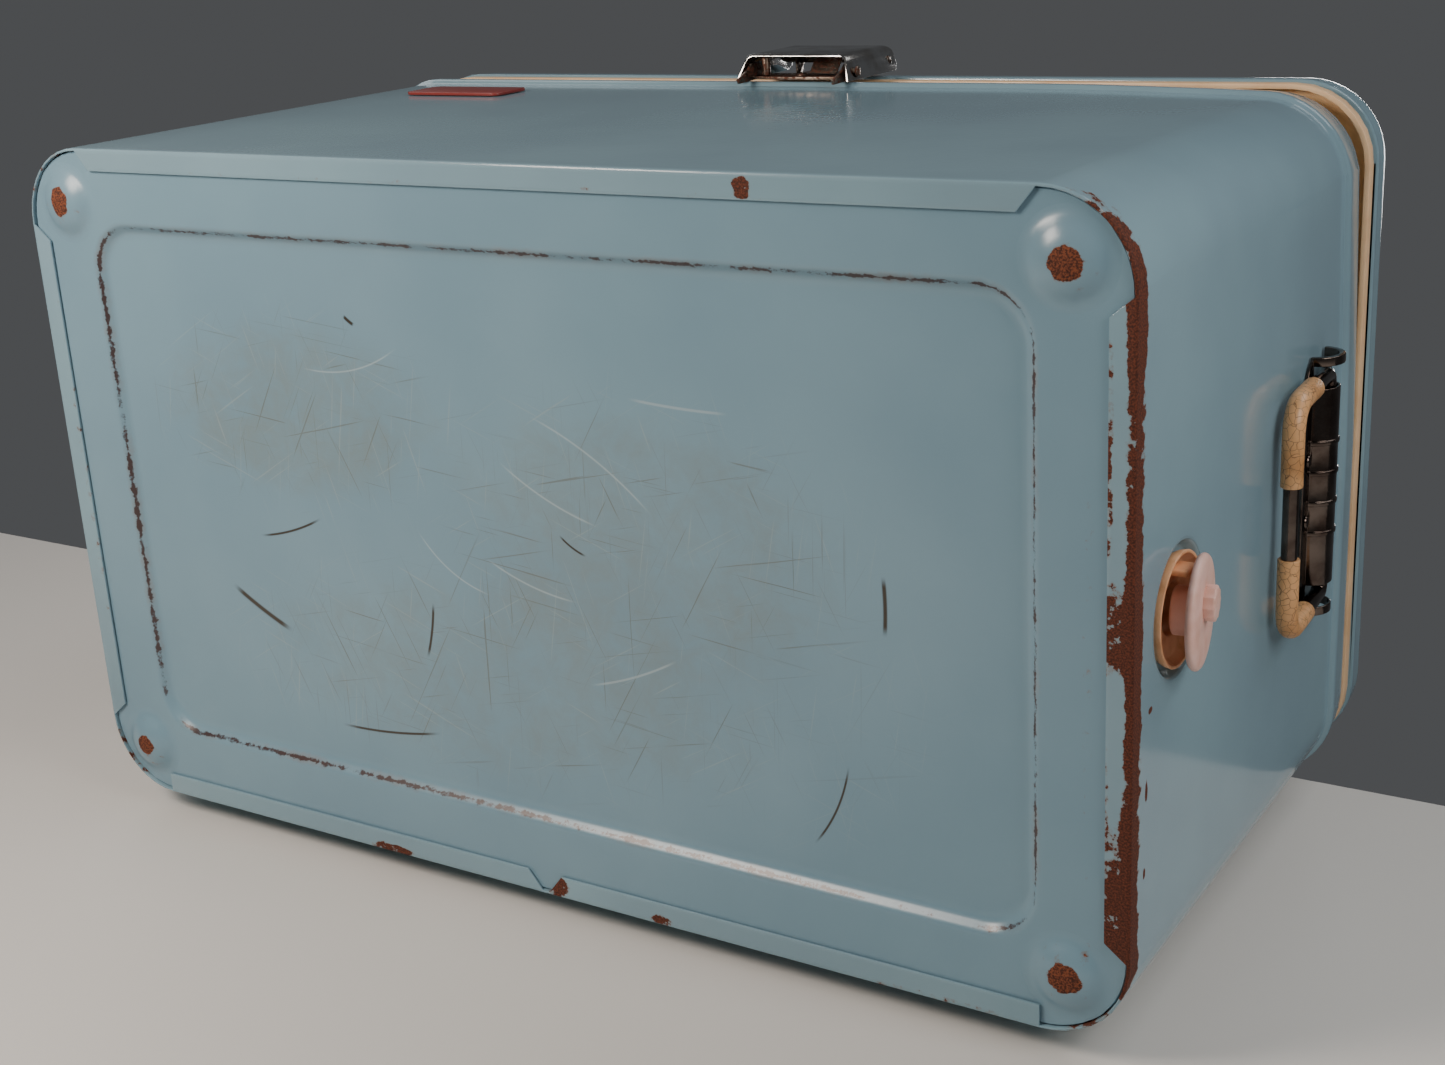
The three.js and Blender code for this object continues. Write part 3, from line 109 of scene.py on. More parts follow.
class Finish:
    """A material's node tree, built from the object's own coordinates."""

    def __init__(self, name: str) -> None:
        """Starts an empty material.

        Args:
            name: the finish's common name.
        """
        self.material = bpy.data.materials.new(name)
        self.material.use_nodes = True
        self.tree = self.material.node_tree
        self.tree.nodes.clear()

    def add(self, kind: str, *inputs: Optional[Value], out: Union[int, str] = 0,
            **settings: object) -> Socket:
        """Adds a node with its settings and links.

        Args:
            kind: the node's type, without the words ShaderNode in front.
            inputs: what goes to each input in order: a socket, a plain value, or None to leave it.
            out: the output to hand back.
            settings: the node's own properties, or an input's value by its name.

        Returns:
            The chosen output.
        """
        node = self.tree.nodes.new("ShaderNode" + kind)
        for key, value in settings.items():
            if hasattr(node, key):
                setattr(node, key, value)
        named = [(node.inputs[key.replace("_", " ")], value)
                 for key, value in settings.items() if not hasattr(node, key)]
        in_use = [socket for socket in node.inputs if socket.enabled]
        for socket, value in [*zip(in_use, inputs), *named]:
            if isinstance(value, bpy.types.NodeSocket):
                self.tree.links.new(value, socket)
            elif value is not None:
                socket.default_value = value
        return node.outputs[out] if isinstance(out, str) else [s for s in node.outputs if s.enabled][out]

    def close(self, surface: Socket) -> bpy.types.Material:
        """Links the finished surface to the material's output and hands the material back."""
        output = self.tree.nodes.new("ShaderNodeOutputMaterial")
        self.tree.links.new(surface, output.inputs["Surface"])
        return self.material


# A patch is full inside the first share of its reach and gone outside the second.
PATCH_INNER, PATCH_OUTER = 0.55, 1.25


@dataclass(frozen=True)
class Patch:
    """A soft-edged place where paint is worn or rust is stronger, in millimetres."""

    centre: tuple[float, float, float]
    reach: tuple[float, float, float]
    strength: float


def patches(finish: Finish, place: Socket, zones: Iterable[Patch]) -> Socket:
    """Adds up soft patches.

    Args:
        finish: the material being built.
        place: position in metres.
        zones: the patches.

    Returns:
        The sum of all the patches' strengths at each place.
    """
    total = None
    for zone in zones:
        local = finish.add("VectorMath", place, [c * MM for c in zone.centre], operation="SUBTRACT")
        scaled = finish.add("VectorMath", local, [r * MM for r in zone.reach], operation="DIVIDE")
        length = finish.add("VectorMath", scaled, operation="LENGTH", out="Value")
        share = finish.add("MapRange", length, PATCH_OUTER, PATCH_INNER, 0.0, zone.strength, **SMOOTH)
        total = share if total is None else finish.add("Math", total, share, operation="ADD")
    return total


@dataclass(frozen=True)
class Stroke:
    """A scratch drawn as part of a large circle on the bottom panel, in millimetres."""

    start: tuple[float, float]
    end: tuple[float, float]
    bow: float
    width: float


def strokes(finish: Finish, x: Socket, y: Socket, lines: Iterable[Stroke]) -> Socket:
    """Draws scratches on a plane.

    Args:
        finish: the material being built.
        x: first coordinate in metres.
        y: second coordinate in metres.
        lines: the scratches.

    Returns:
        1 on a scratch and 0 off it.
    """
    total = None
    for line in lines:
        start, end = Vector(line.start) * MM, Vector(line.end) * MM
        run = end - start
        length = run.length
        along = run / length
        mid = (start + end) / 2
        du = finish.add("Math", x, mid.x, operation="SUBTRACT")
        dv = finish.add("Math", y, mid.y, operation="SUBTRACT")
        u_first = finish.add("Math", du, along.x, operation="MULTIPLY")
        u = finish.add("Math", dv, along.y, u_first, operation="MULTIPLY_ADD")
        v_first = finish.add("Math", du, -along.y, operation="MULTIPLY")
        v = finish.add("Math", dv, along.x, v_first, operation="MULTIPLY_ADD")
        square = finish.add("Math", u, u, operation="MULTIPLY")
        bend = finish.add("Math", square, 4 * line.bow * MM / length**2, v, operation="MULTIPLY_ADD")
        across = finish.add("Math", bend, line.bow * MM, operation="SUBTRACT")
        off = finish.add("Math", across, operation="ABSOLUTE")
        near = finish.add("MapRange", off, line.width * MM, line.width * 0.35 * MM, **SMOOTH)
        reach = finish.add("Math", u, operation="ABSOLUTE")
        ends = finish.add("MapRange", reach, length / 2, length * 0.3, **SMOOTH)
        mark = finish.add("Math", near, ends, operation="MULTIPLY")
        total = mark if total is None else finish.add("Math", total, mark, operation="MAXIMUM")
    return total


# ---------------------------------------------------------------- finishes


RUST_ROUGHNESS = 0.85
# Hair scratches: 75 mm and 1.4 mm steps of the noise along and across them.
HAIR = (0.075, 0.0014, 1.0)


@dataclass(frozen=True)
class BakedEnamel:
    """Light blue baked enamel on pressed steel: glossy, with a faint orange peel, rusting where it chips.

    Enamel gives a soft-edged highlight over a flat colour, and it breaks away at folds and corners, which
    lets dull red-brown rust through. zones say where it has rusted most, scuffs where it is rubbed dull,
    marks and pale_marks are scratches, and brink is the outline of a fold where it has cracked.
    """

    name: str = "baked_enamel"
    colour: str = "#7f9caa"
    pale: str = "#88a7b4"
    rust_dark: str = "#3b1b10"
    rust_light: str = "#6d341d"
    roughness: float = 0.13
    peel_mm: float = 3.0
    chip_mm: float = 5.0
    grit_mm: float = 0.8
    zones: tuple[Patch, ...] = ()
    threshold: float = 0.84
    scuffs: tuple[Patch, ...] = ()
    marks: tuple[Stroke, ...] = ()
    pale_marks: tuple[Stroke, ...] = ()
    brink: Optional[tuple[float, float, float]] = None

    def build(self) -> bpy.types.Material:
        """Builds the enamel."""
        f = Finish(self.name)
        place = f.add("TexCoord", out="Object")
        x, y = f.add("SeparateXYZ", place, out="X"), f.add("SeparateXYZ", place, out="Y")
        broad = f.add("TexNoise", place, Scale=9.0, Detail=3.0, out=0)
        cloudy = f.add("MapRange", broad, 0.3, 0.75, **SMOOTH)
        colour = f.add("Mix", cloudy, linear(self.colour), linear(self.pale), **COLOURS)
        chips = f.add("TexNoise", place, Scale=1 / (self.chip_mm * MM), Detail=6.0, Roughness=0.62, out=0)
        grain = f.add("TexNoise", place, Scale=1 / (self.grit_mm * MM), Detail=4.0, out=0)
        height = f.add("TexNoise", place, Scale=1 / (self.peel_mm * MM), Detail=1.0, out=0)
        bias = patches(f, place, self.zones)
        if self.scuffs:
            colour = self.scuffed(f, place, colour)
        for lines, share, tone in ((self.pale_marks, 0.6, "#a9bcc3"), (self.marks, 1.0, "#3b352c")):
            if lines:
                mark = f.add("Math", strokes(f, x, y, lines), share, operation="MULTIPLY")
                colour = f.add("Mix", mark, colour, linear(tone), **COLOURS)
        if self.brink is not None:
            colour = self.cracked_fold(f, place, x, y, colour)
        level = f.add("Math", chips, bias, operation="ADD") if bias is not None else chips
        stain = f.add("MapRange", level, self.threshold - 0.10, self.threshold + 0.02, 0.0, 0.5, **SMOOTH)
        colour = f.add("Mix", stain, colour, linear("#85705f"), **COLOURS)
        rust = f.add("MapRange", level, self.threshold, self.threshold + 0.025, **SMOOTH)
        mottled = f.add("MapRange", grain, 0.35, 0.68, **SMOOTH)
        rust_colour = f.add("Mix", mottled, linear(self.rust_dark), linear(self.rust_light), **COLOURS)
        colour = f.add("Mix", rust, colour, rust_colour, **COLOURS)
        roughness = f.add("MapRange", rust, 0.0, 1.0, self.roughness, RUST_ROUGHNESS)
        peel = f.add("Math", height, 0.12, operation="MULTIPLY")
        relief = f.add("Math", rust, -0.5, peel, operation="MULTIPLY_ADD")
        scale = f.add("Math", grain, rust, operation="MULTIPLY")
        relief = f.add("Math", scale, 0.5, relief, operation="MULTIPLY_ADD")
        bump = f.add("Bump", Strength=0.35, Distance=0.6 * MM, Height=relief, out=0)
        surface = f.add("BsdfPrincipled", colour, None, roughness, IOR=1.5, Normal=bump)
        return f.close(surface)

    def scuffed(self, f: Finish, place: Socket, colour: Socket) -> Socket:
        """Rubs the enamel dull in its scuffed places, and scratches it with pale and brown hairs.

        Args:
            f: the material being built.
            place: position in metres.
            colour: the enamel's colour.

        Returns:
            The colour with the scuffs over it.
        """
        worn = patches(f, place, self.scuffs)
        blotch = f.add("TexNoise", place, Scale=55.0, Detail=8.0, Roughness=0.7, Distortion=0.4, out=0)
        rubbed = f.add("Math", worn, blotch, operation="MULTIPLY")
        dulled = f.add("MapRange", rubbed, 0.25, 0.85, 0.0, 0.6, **SMOOTH)
        colour = f.add("Mix", dulled, colour, linear("#7c8886"), **COLOURS)
        fine = self.fibres(f, place, (0.35, 1.25, 1.75, 2.6))
        strength = f.add("MapRange", worn, 0.05, 0.7, 0.0, 0.42, **SMOOTH)
        light = f.add("Math", fine, strength, operation="MULTIPLY")
        colour = f.add("Mix", light, colour, linear("#9aabad"), **COLOURS)
        coarse = self.fibres(f, place, (0.1, 1.1, 1.6, 2.1, 2.9), 3.1)
        strength = f.add("MapRange", worn, 0.2, 0.9, 0.0, 0.55, **SMOOTH)
        brown = f.add("Math", coarse, strength, operation="MULTIPLY")
        return f.add("Mix", brown, colour, linear("#67675a"), **COLOURS)

    def cracked_fold(self, f: Finish, place: Socket, x: Socket, y: Socket, colour: Socket) -> Socket:
        """Draws a ragged, broken rust line with a brown halo along the fold.

        Args:
            f: the material being built.
            place: position in metres.
            x: its first coordinate.
            y: its second coordinate.
            colour: the enamel's colour.

        Returns:
            The colour with the line over it.
        """
        edge = self.frame_line(f, x, y, *self.brink)
        ragged = f.add("TexNoise", place, Scale=260.0, Detail=4.0, Roughness=0.7, out=0)
        wander = f.add("Math", ragged, -0.5, operation="ADD")
        edge = f.add("Math", wander, 4.2 * MM, edge, operation="MULTIPLY_ADD")
        break_up = f.add("TexNoise", place, Scale=30.0, Detail=8.0, Roughness=0.75, out=0)
        for wide, narrow, dense, strength, tone in (
            (3.0, 0.6, 0.66, 0.4, "#8b7767"),
            (0.9, 0.35, 0.50, 0.9, self.rust_dark),
        ):
            near = f.add("MapRange", edge, wide * MM, narrow * MM, **SMOOTH)
            broken = f.add("MapRange", break_up, 0.42, dense, 0.0, strength, **SMOOTH)
            line = f.add("Math", near, broken, operation="MULTIPLY")
            colour = f.add("Mix", line, colour, linear(tone), **COLOURS)
        return colour

    @staticmethod
    def fibres(f: Finish, place: Socket, angles: Sequence[float], offset: float = 0.0) -> Socket:
        """Hair scratches about 0.4 mm wide and 30 mm long.

        Args:
            f: the material being built.
            place: position in metres.
            angles: the directions that they run in, in radians.
            offset: moves the pattern, so that two sets differ.

        Returns:
            1 on a hair and 0 off it.
        """
        total = None
        for angle in angles:
            turned = f.add("Mapping", place, [offset, offset, 0.0], [0.0, 0.0, angle], HAIR,
                           vector_type="TEXTURE")
            lines = f.add("TexNoise", turned, Scale=1.0, Detail=2.0, Distortion=0.35, out=0)
            thin = f.add("MapRange", lines, 0.67, 0.74, **SMOOTH)
            total = thin if total is None else f.add("Math", total, thin, operation="MAXIMUM")
        return total

    @staticmethod
    def frame_line(f: Finish, x: Socket, y: Socket, half_x: float, half_y: float, corner: float) -> Socket:
        """Measures the distance from a rounded rectangle's outline.

        Args:
            f: the material being built.
            x: first coordinate in metres.
            y: second coordinate in metres.
            half_x: half the rectangle's width, in millimetres.
            half_y: half its depth.
            corner: its corner radius.

        Returns:
            The distance in metres.
        """
        ax = f.add("Math", x, operation="ABSOLUTE")
        ay = f.add("Math", y, operation="ABSOLUTE")
        qx = f.add("Math", ax, (half_x - corner) * MM, operation="SUBTRACT")
        qy = f.add("Math", ay, (half_y - corner) * MM, operation="SUBTRACT")
        px = f.add("Math", qx, 0.0, operation="MAXIMUM")
        py = f.add("Math", qy, 0.0, operation="MAXIMUM")
        square = f.add("Math", py, py, operation="MULTIPLY")
        square = f.add("Math", px, px, square, operation="MULTIPLY_ADD")
        outside = f.add("Math", square, 0.5, operation="POWER")
        inside = f.add("Math", f.add("Math", qx, qy, operation="MAXIMUM"), 0.0, operation="MINIMUM")
        signed = f.add("Math", outside, inside, operation="ADD")
        signed = f.add("Math", signed, corner * MM, operation="SUBTRACT")
        return f.add("Math", signed, operation="ABSOLUTE")


@dataclass(frozen=True)
class AgedPlastic:
    """Moulded styrene that has yellowed: a soft gloss, faint mottling and fine crazing."""

    name: str = "aged_styrene"
    colour: str = "#e9d8b4"
    stain: str = "#c9ad7c"
    crack: str = "#6b5233"
    roughness: float = 0.34
    mottle_mm: float = 18.0
    crack_mm: float = 6.0
    crack_share: float = 0.0
    waxy: float = 0.08

    def build(self) -> bpy.types.Material:
        """Builds the plastic."""
        f = Finish(self.name)
        place = f.add("TexCoord", out="Object")
        mottle = f.add("TexNoise", place, Scale=1 / (self.mottle_mm * MM), Detail=5.0, out=0)
        yellow = f.add("MapRange", mottle, 0.38, 0.78, **SMOOTH)
        colour = f.add("Mix", yellow, linear(self.colour), linear(self.stain), **COLOURS)
        warped = f.add("TexNoise", place, Scale=160.0, Detail=2.0, out="Color")
        shift = f.add("VectorMath", warped, Scale=2.5 * MM, operation="SCALE")
        shifted = f.add("VectorMath", shift, place, operation="ADD")
        cells = f.add("TexVoronoi", shifted, Scale=1 / (self.crack_mm * MM), feature="DISTANCE_TO_EDGE")
        line = f.add("MapRange", cells, 0.045, 0.012, **SMOOTH)
        crack = f.add("Math", line, self.crack_share, operation="MULTIPLY")
        flecks = f.add("TexNoise", place, Scale=300.0, Detail=5.0, Roughness=0.7, out=0)
        spots = f.add("MapRange", flecks, 0.60, 0.70, **SMOOTH)
        spots = f.add("Math", spots, self.crack_share * 0.7, operation="MULTIPLY")
        crack = f.add("Math", crack, spots, operation="MAXIMUM")
        colour = f.add("Mix", crack, colour, linear(self.crack), **COLOURS)
        height = f.add("Math", crack, -1.0, mottle, operation="MULTIPLY_ADD")
        bump = f.add("Bump", Strength=0.3, Distance=0.4 * MM, Height=height, out=0)
        roughness = f.add("MapRange", mottle, 0.3, 0.8, self.roughness, self.roughness + 0.16)
        surface = f.add("BsdfPrincipled", colour, None, roughness, IOR=1.53, Normal=bump,
                        Subsurface_Weight=self.waxy, Subsurface_Radius=(4 * MM, 2 * MM, MM))
        return f.close(surface)


@dataclass(frozen=True)
class PlatedSteel:
    """Plated steel: a bright mirror with fine pits, and thin brown rust where the plating has failed."""

    name: str = "plated_steel"
    colour: str = "#c9c8c6"
    tarnish: str = "#8b8580"
    rust: str = "#5a2f1d"
    roughness: float = 0.1
    rust_level: float = 0.66
    pit_mm: float = 2.2

    def build(self) -> bpy.types.Material:
        """Builds the plating."""
        f = Finish(self.name)
        place = f.add("TexCoord", out="Object")
        cloud = f.add("TexNoise", place, Scale=60.0, Detail=5.0, Roughness=0.6, out=0)
        pits = f.add("TexNoise", place, Scale=1 / (self.pit_mm * MM), Detail=7.0, Roughness=0.68, out=0)
        dull = f.add("MapRange", cloud, 0.35, 0.75, **SMOOTH)
        colour = f.add("Mix", dull, linear(self.colour), linear(self.tarnish), **COLOURS)
        rust = f.add("MapRange", pits, self.rust_level, self.rust_level + 0.05, **SMOOTH)
        colour = f.add("Mix", rust, colour, linear(self.rust), **COLOURS)
        polish = f.add("MapRange", cloud, 0.3, 0.8, self.roughness, self.roughness + 0.12)
        roughness = f.add("Math", rust, 0.5, polish, operation="MULTIPLY_ADD")
        metallic = f.add("MapRange", rust, 0.0, 1.0, 1.0, 0.15)
        relief = f.add("Math", rust, pits, operation="ADD")
        bump = f.add("Bump", Strength=0.2, Distance=0.3 * MM, Height=relief, out=0)
        return f.close(f.add("BsdfPrincipled", colour, metallic, roughness, Normal=bump))


@dataclass(frozen=True)
class MouldedRubber:
    """Black moulded rubber: dull, with a fine grey bloom."""

    name: str = "moulded_rubber"

    def build(self) -> bpy.types.Material:
        """Builds the rubber."""
        f = Finish(self.name)
        place = f.add("TexCoord", out="Object")
        bloom = f.add("TexNoise", place, Scale=120.0, Detail=6.0, out=0)
        grey = f.add("MapRange", bloom, 0.45, 0.8, **SMOOTH)
        colour = f.add("Mix", grey, linear("#121213"), linear("#2b2b2a"), **COLOURS)
        bump = f.add("Bump", Strength=0.25, Distance=0.3 * MM, Height=bloom, out=0)
        return f.close(f.add("BsdfPrincipled", colour, None, 0.72, Normal=bump))


@dataclass(frozen=True)
class PouredFoam:
    """Poured polyurethane foam: matt, pale yellow, with cells about a millimetre wide."""

    name: str = "poured_foam"

    def build(self) -> bpy.types.Material:
        """Builds the foam."""
        f = Finish(self.name)
        place = f.add("TexCoord", out="Object")
        cells = f.add("TexVoronoi", place, Scale=1 / (1.2 * MM), out=0)
        tone = f.add("TexNoise", place, Scale=25.0, Detail=4.0, out=0)
        colour = f.add("Mix", tone, linear("#e3d6a8"), linear("#cdb981"), **COLOURS)
        bump = f.add("Bump", Strength=0.5, Distance=0.6 * MM, Height=cells, out=0)
        return f.close(f.add("BsdfPrincipled", colour, None, 0.9, Normal=bump))


# ---------------------------------------------------------------- stage

FLOOR_GAP = 1.5


@dataclass(frozen=True)
class Camera:
    """A camera low at the chest's right front foot, facing its bottom with the latch side uppermost."""

    place_mm: tuple[float, float, float] = (514.6, -272.6, -624.3)
    aim_mm: tuple[float, float, float] = (107.4, -22.5, 4.0)
    up: tuple[float, float, float] = (-0.1246, -0.9469, 0.2962)
    lens_mm: float = 49.15

    def build(self) -> bpy.types.Object:
        """Adds the camera and makes it the scene's own."""
        data = bpy.data.cameras.new("camera")
        data.lens = self.lens_mm
        data.sensor_width = 36.0
        camera = bpy.data.objects.new("camera", data)
        bpy.context.collection.objects.link(camera)
        back = (Vector(self.place_mm) - Vector(self.aim_mm)).normalized()
        right = Vector(self.up).cross(back).normalized()
        up = back.cross(right)
        turn = Matrix((right, up, back)).transposed().to_4x4()
        camera.matrix_world = Matrix.Translation(Vector(self.place_mm) * MM) @ turn
        bpy.context.scene.camera = camera
        return camera


@dataclass(frozen=True)
class SoftLight:
    """A square studio light."""

    name: str
    place: tuple[float, float, float]
    size: float
    power: float
    colour: str = "#ffffff"
    aim: tuple[float, float, float] = (0.0, 0.0, 0.15)

    def build(self) -> bpy.types.Object:
        """Adds the light, turned to face its aim."""
        data = bpy.data.lights.new(self.name, "AREA")
        data.shape = "SQUARE"
        data.size = self.size
        data.energy = self.power
        data.color = linear(self.colour)[:3]
        light = bpy.data.objects.new(self.name, data)
        bpy.context.collection.objects.link(light)
        run = Vector(self.aim) - Vector(self.place)
        turn = run.to_track_quat("-Z", "Y").to_matrix().to_4x4()
        light.matrix_world = Matrix.Translation(self.place) @ turn
        return light


@dataclass(frozen=True)
class Studio:
    """A plain pale table under the chest's back, a grey surround and soft lights.

    The table ends just short of the hinges, so that the lid hangs past it and is free to open.
    """

    floor: str = "#d9d7d3"
    surround: str = "#b9bcc0"
    surround_power: float = 0.16
    reach: float = 8.0
    floor_end: float = 0.29

    def build(self) -> None:
        """Adds the floor, the surround and the lights."""
        self.add_floor()
        world = bpy.data.worlds.new("surround")
        world.use_nodes = True
        shade = world.node_tree.nodes["Background"]
        shade.inputs["Color"].default_value = linear(self.surround)
        shade.inputs["Strength"].default_value = self.surround_power
        bpy.context.scene.world = world
        for light in (
            SoftLight("key", (-0.32, -0.46, -0.46), 0.3, 5.6, "#fff1e4"),
            SoftLight("fill", (0.8, -0.42, -0.1), 0.4, 2.7, "#fff8f2"),
            SoftLight("front", (-1.7, -1.5, 1.0), 1.2, 8.0, "#ffffff"),
            SoftLight("top", (1.1, -1.8, 1.3), 1.2, 13.0, "#ffffff"),
            SoftLight("lid", (-0.05, 0.05, 2.0), 0.5, 11.0, "#ffffff"),
            SoftLight("back", (-0.6, 2.0, 1.2), 1.4, 20.0, "#ffffff"),
        ):
            light.build()

    def add_floor(self) -> None:
        """Adds the floor just behind the back wall; it is seen only from the chest's side."""
        level = CAD_BOX[1][1] + FLOOR_GAP * MM
        bpy.ops.object.select_all(action="DESELECT")
        bpy.ops.mesh.primitive_plane_add(size=2 * self.reach, location=(0, 0, 0))
        floor = bpy.context.object
        floor.name = "studio_floor"
        place = Matrix.Translation((0, level, self.floor_end - self.reach))
        floor.data.transform(place @ Matrix.Rotation(math.pi / 2, 4, "X"))
        f = Finish("floor_paper")
        side = f.add("NewGeometry", out="Backfacing")
        paper = f.add("BsdfPrincipled", linear(self.floor), None, 0.9)
        clear = f.add("BsdfTransparent")
        floor.data.materials.append(f.close(f.add("MixShader", side, paper, clear)))


# ---------------------------------------------------------------- mesh work

# Points nearer than this, in metres, are one: on a turned or bent piece, and on a copy of a packed one.
SAME_POINT = 0.000002
LOOSE_POINT = 0.00001
BEND_STEPS = 12


def deselect() -> None:
    """Deselects everything in object mode."""
    bpy.ops.object.select_all(action="DESELECT")


def make_active(piece: bpy.types.Object) -> None:
    """Selects one object alone and makes it active."""
    deselect()
    piece.select_set(True)
    bpy.context.view_layer.objects.active = piece


def edit(piece: bpy.types.Object, work: Callable[[], None], everything: bool = True) -> None:
    """Runs edit-mode operators on one object.

    Args:
        piece: the object to edit.
        work: calls the operators.
        everything: select the whole mesh first, or keep the selection made in code.
    """
    make_active(piece)
    bpy.ops.object.mode_set(mode="EDIT")
    if everything:
        bpy.ops.mesh.select_all(action="SELECT")
    work()
    bpy.ops.object.mode_set(mode="OBJECT")


def pick(piece: bpy.types.Object, wanted: Callable[[bpy.types.MeshEdge], bool]) -> None:
    """Selects, in object mode, just the edges that pass a test."""
    mesh = piece.data
    for group in (mesh.vertices, mesh.edges, mesh.polygons):
        group.foreach_set("select", [False] * len(group))
    for edge in mesh.edges:
        if wanted(edge):
            edge.select = True
            for i in edge.vertices:
                mesh.vertices[i].select = True


def apply_modifier(piece: bpy.types.Object, kind: str, **settings: object) -> None:
    """Adds a modifier with its settings and applies it."""
    make_active(piece)
    modifier = piece.modifiers.new(kind.lower(), kind)
    for key, value in settings.items():
        setattr(modifier, key, value)
    bpy.ops.object.modifier_apply(modifier=modifier.name)


def bake_place(piece: bpy.types.Object) -> None:
    """Moves an object's place, turn and scale into its mesh."""
    piece.data.transform(piece.matrix_basis)
    piece.matrix_basis = Matrix.Identity(4)


def smooth(piece: bpy.types.Object, degrees: float = 30.0) -> None:
    """Shades a piece smooth, except across edges sharper than an angle."""
    make_active(piece)
    bpy.ops.object.shade_smooth_by_angle(angle=math.radians(degrees))


def recalculate(piece: bpy.types.Object) -> None:
    """Turns all faces outwards."""
    edit(piece, lambda: bpy.ops.mesh.normals_make_consistent(inside=False))


def join(pieces: Sequence[bpy.types.Object], name: str) -> bpy.types.Object:
    """Joins objects into the first one.

    Args:
        pieces: the objects, the first of which is kept.
        name: what to call it.

    Returns:
        The joined object.
    """
    deselect()
    for piece in pieces:
        piece.select_set(True)
    bpy.context.view_layer.objects.active = pieces[0]
    bpy.ops.object.join()
    pieces[0].name = name
    pieces[0].data.name = name
    return pieces[0]


@dataclass(frozen=True)
class Ring:
    """A rounded rectangle at a height, in millimetres."""

    width: float
    depth: float
    radius: float
    height: float

    def build(self, index: int, segments: int) -> bpy.types.Object:
        """Makes the ring from a plane with rounded corners, and marks its points with its index."""
        deselect()
        bpy.ops.mesh.primitive_plane_add(size=1)
        ring = bpy.context.object
        ring.data.transform(Matrix.Diagonal((self.width * MM, self.depth * MM, 1, 1)))
        ring.data.transform(Matrix.Translation((0, 0, self.height * MM)))

        def round_corners() -> None:
            """Rounds the four corners and leaves only the outline."""
            bpy.ops.mesh.bevel(offset=self.radius * MM, segments=segments, affect="VERTICES",
                               clamp_overlap=False)
            bpy.ops.mesh.delete(type="ONLY_FACE")

        edit(ring, round_corners)
        mark = ring.data.attributes.new("ring", "INT", "POINT")
        mark.data.foreach_set("value", [index] * len(ring.data.vertices))
        return ring


def ring_loft(name: str, rings: Sequence[Ring], segments: int = 10, closed: bool = False,
              caps: bool = True) -> bpy.types.Object:
    """Bridges a stack of rounded rectangles into one skin.

    Args:
        name: the piece's name.
        rings: the outlines in order.
        segments: how finely each corner is rounded.
        closed: bridge the last ring to the first.
        caps: fill the first and last rings when the skin isn't closed.

    Returns:
        The new object, with its faces turned outwards.
    """
    piece = join([ring.build(i, segments) for i, ring in enumerate(rings)], name)
    count = len(rings)
    pairs = [(i, i + 1) for i in range(count - 1)] + ([(count - 1, 0)] if closed else [])

    def within(wanted: set[int]) -> Callable[[bpy.types.MeshEdge], bool]:
        """A test for edges that run round one of the wanted rings."""
        marks = [m.value for m in piece.data.attributes["ring"].data]
        return lambda e: marks[e.vertices[0]] == marks[e.vertices[1]] and marks[e.vertices[0]] in wanted

    for first, second in pairs:
        pick(piece, within({first, second}))
        edit(piece, bpy.ops.mesh.bridge_edge_loops, everything=False)
    if caps and not closed:
        for end in (0, count - 1):
            pick(piece, within({end}))
            edit(piece, bpy.ops.mesh.edge_face_add, everything=False)
    piece.data.attributes.remove(piece.data.attributes["ring"])
    recalculate(piece)
    return piece


def turned(name: str, profile: Sequence[tuple[float, float]], steps: int = 64) -> bpy.types.Object:
    """Spins a profile about the Z axis.

    Args:
        name: the piece's name.
        profile: points as (radius, height) in millimetres; a profile off the axis is closed on itself.
        steps: how many faces go round.

    Returns:
        The turned object, standing on the origin.
    """
    mesh = bpy.data.meshes.new(name)
    points = [Vector((r * MM, 0, h * MM)) for r, h in profile]
    mesh.from_pydata(points, [(i, i + 1) for i in range(len(points) - 1)], [])
    piece = bpy.data.objects.new(name, mesh)
    bpy.context.collection.objects.link(piece)

    def spin() -> None:
        """Spins the profile and closes the seam."""
        bpy.ops.mesh.spin(steps=steps, angle=2 * math.pi, center=(0, 0, 0), axis=(0, 0, 1))
        bpy.ops.mesh.select_all(action="SELECT")
        bpy.ops.mesh.remove_doubles(threshold=SAME_POINT)

    edit(piece, spin)
    recalculate(piece)
    return piece


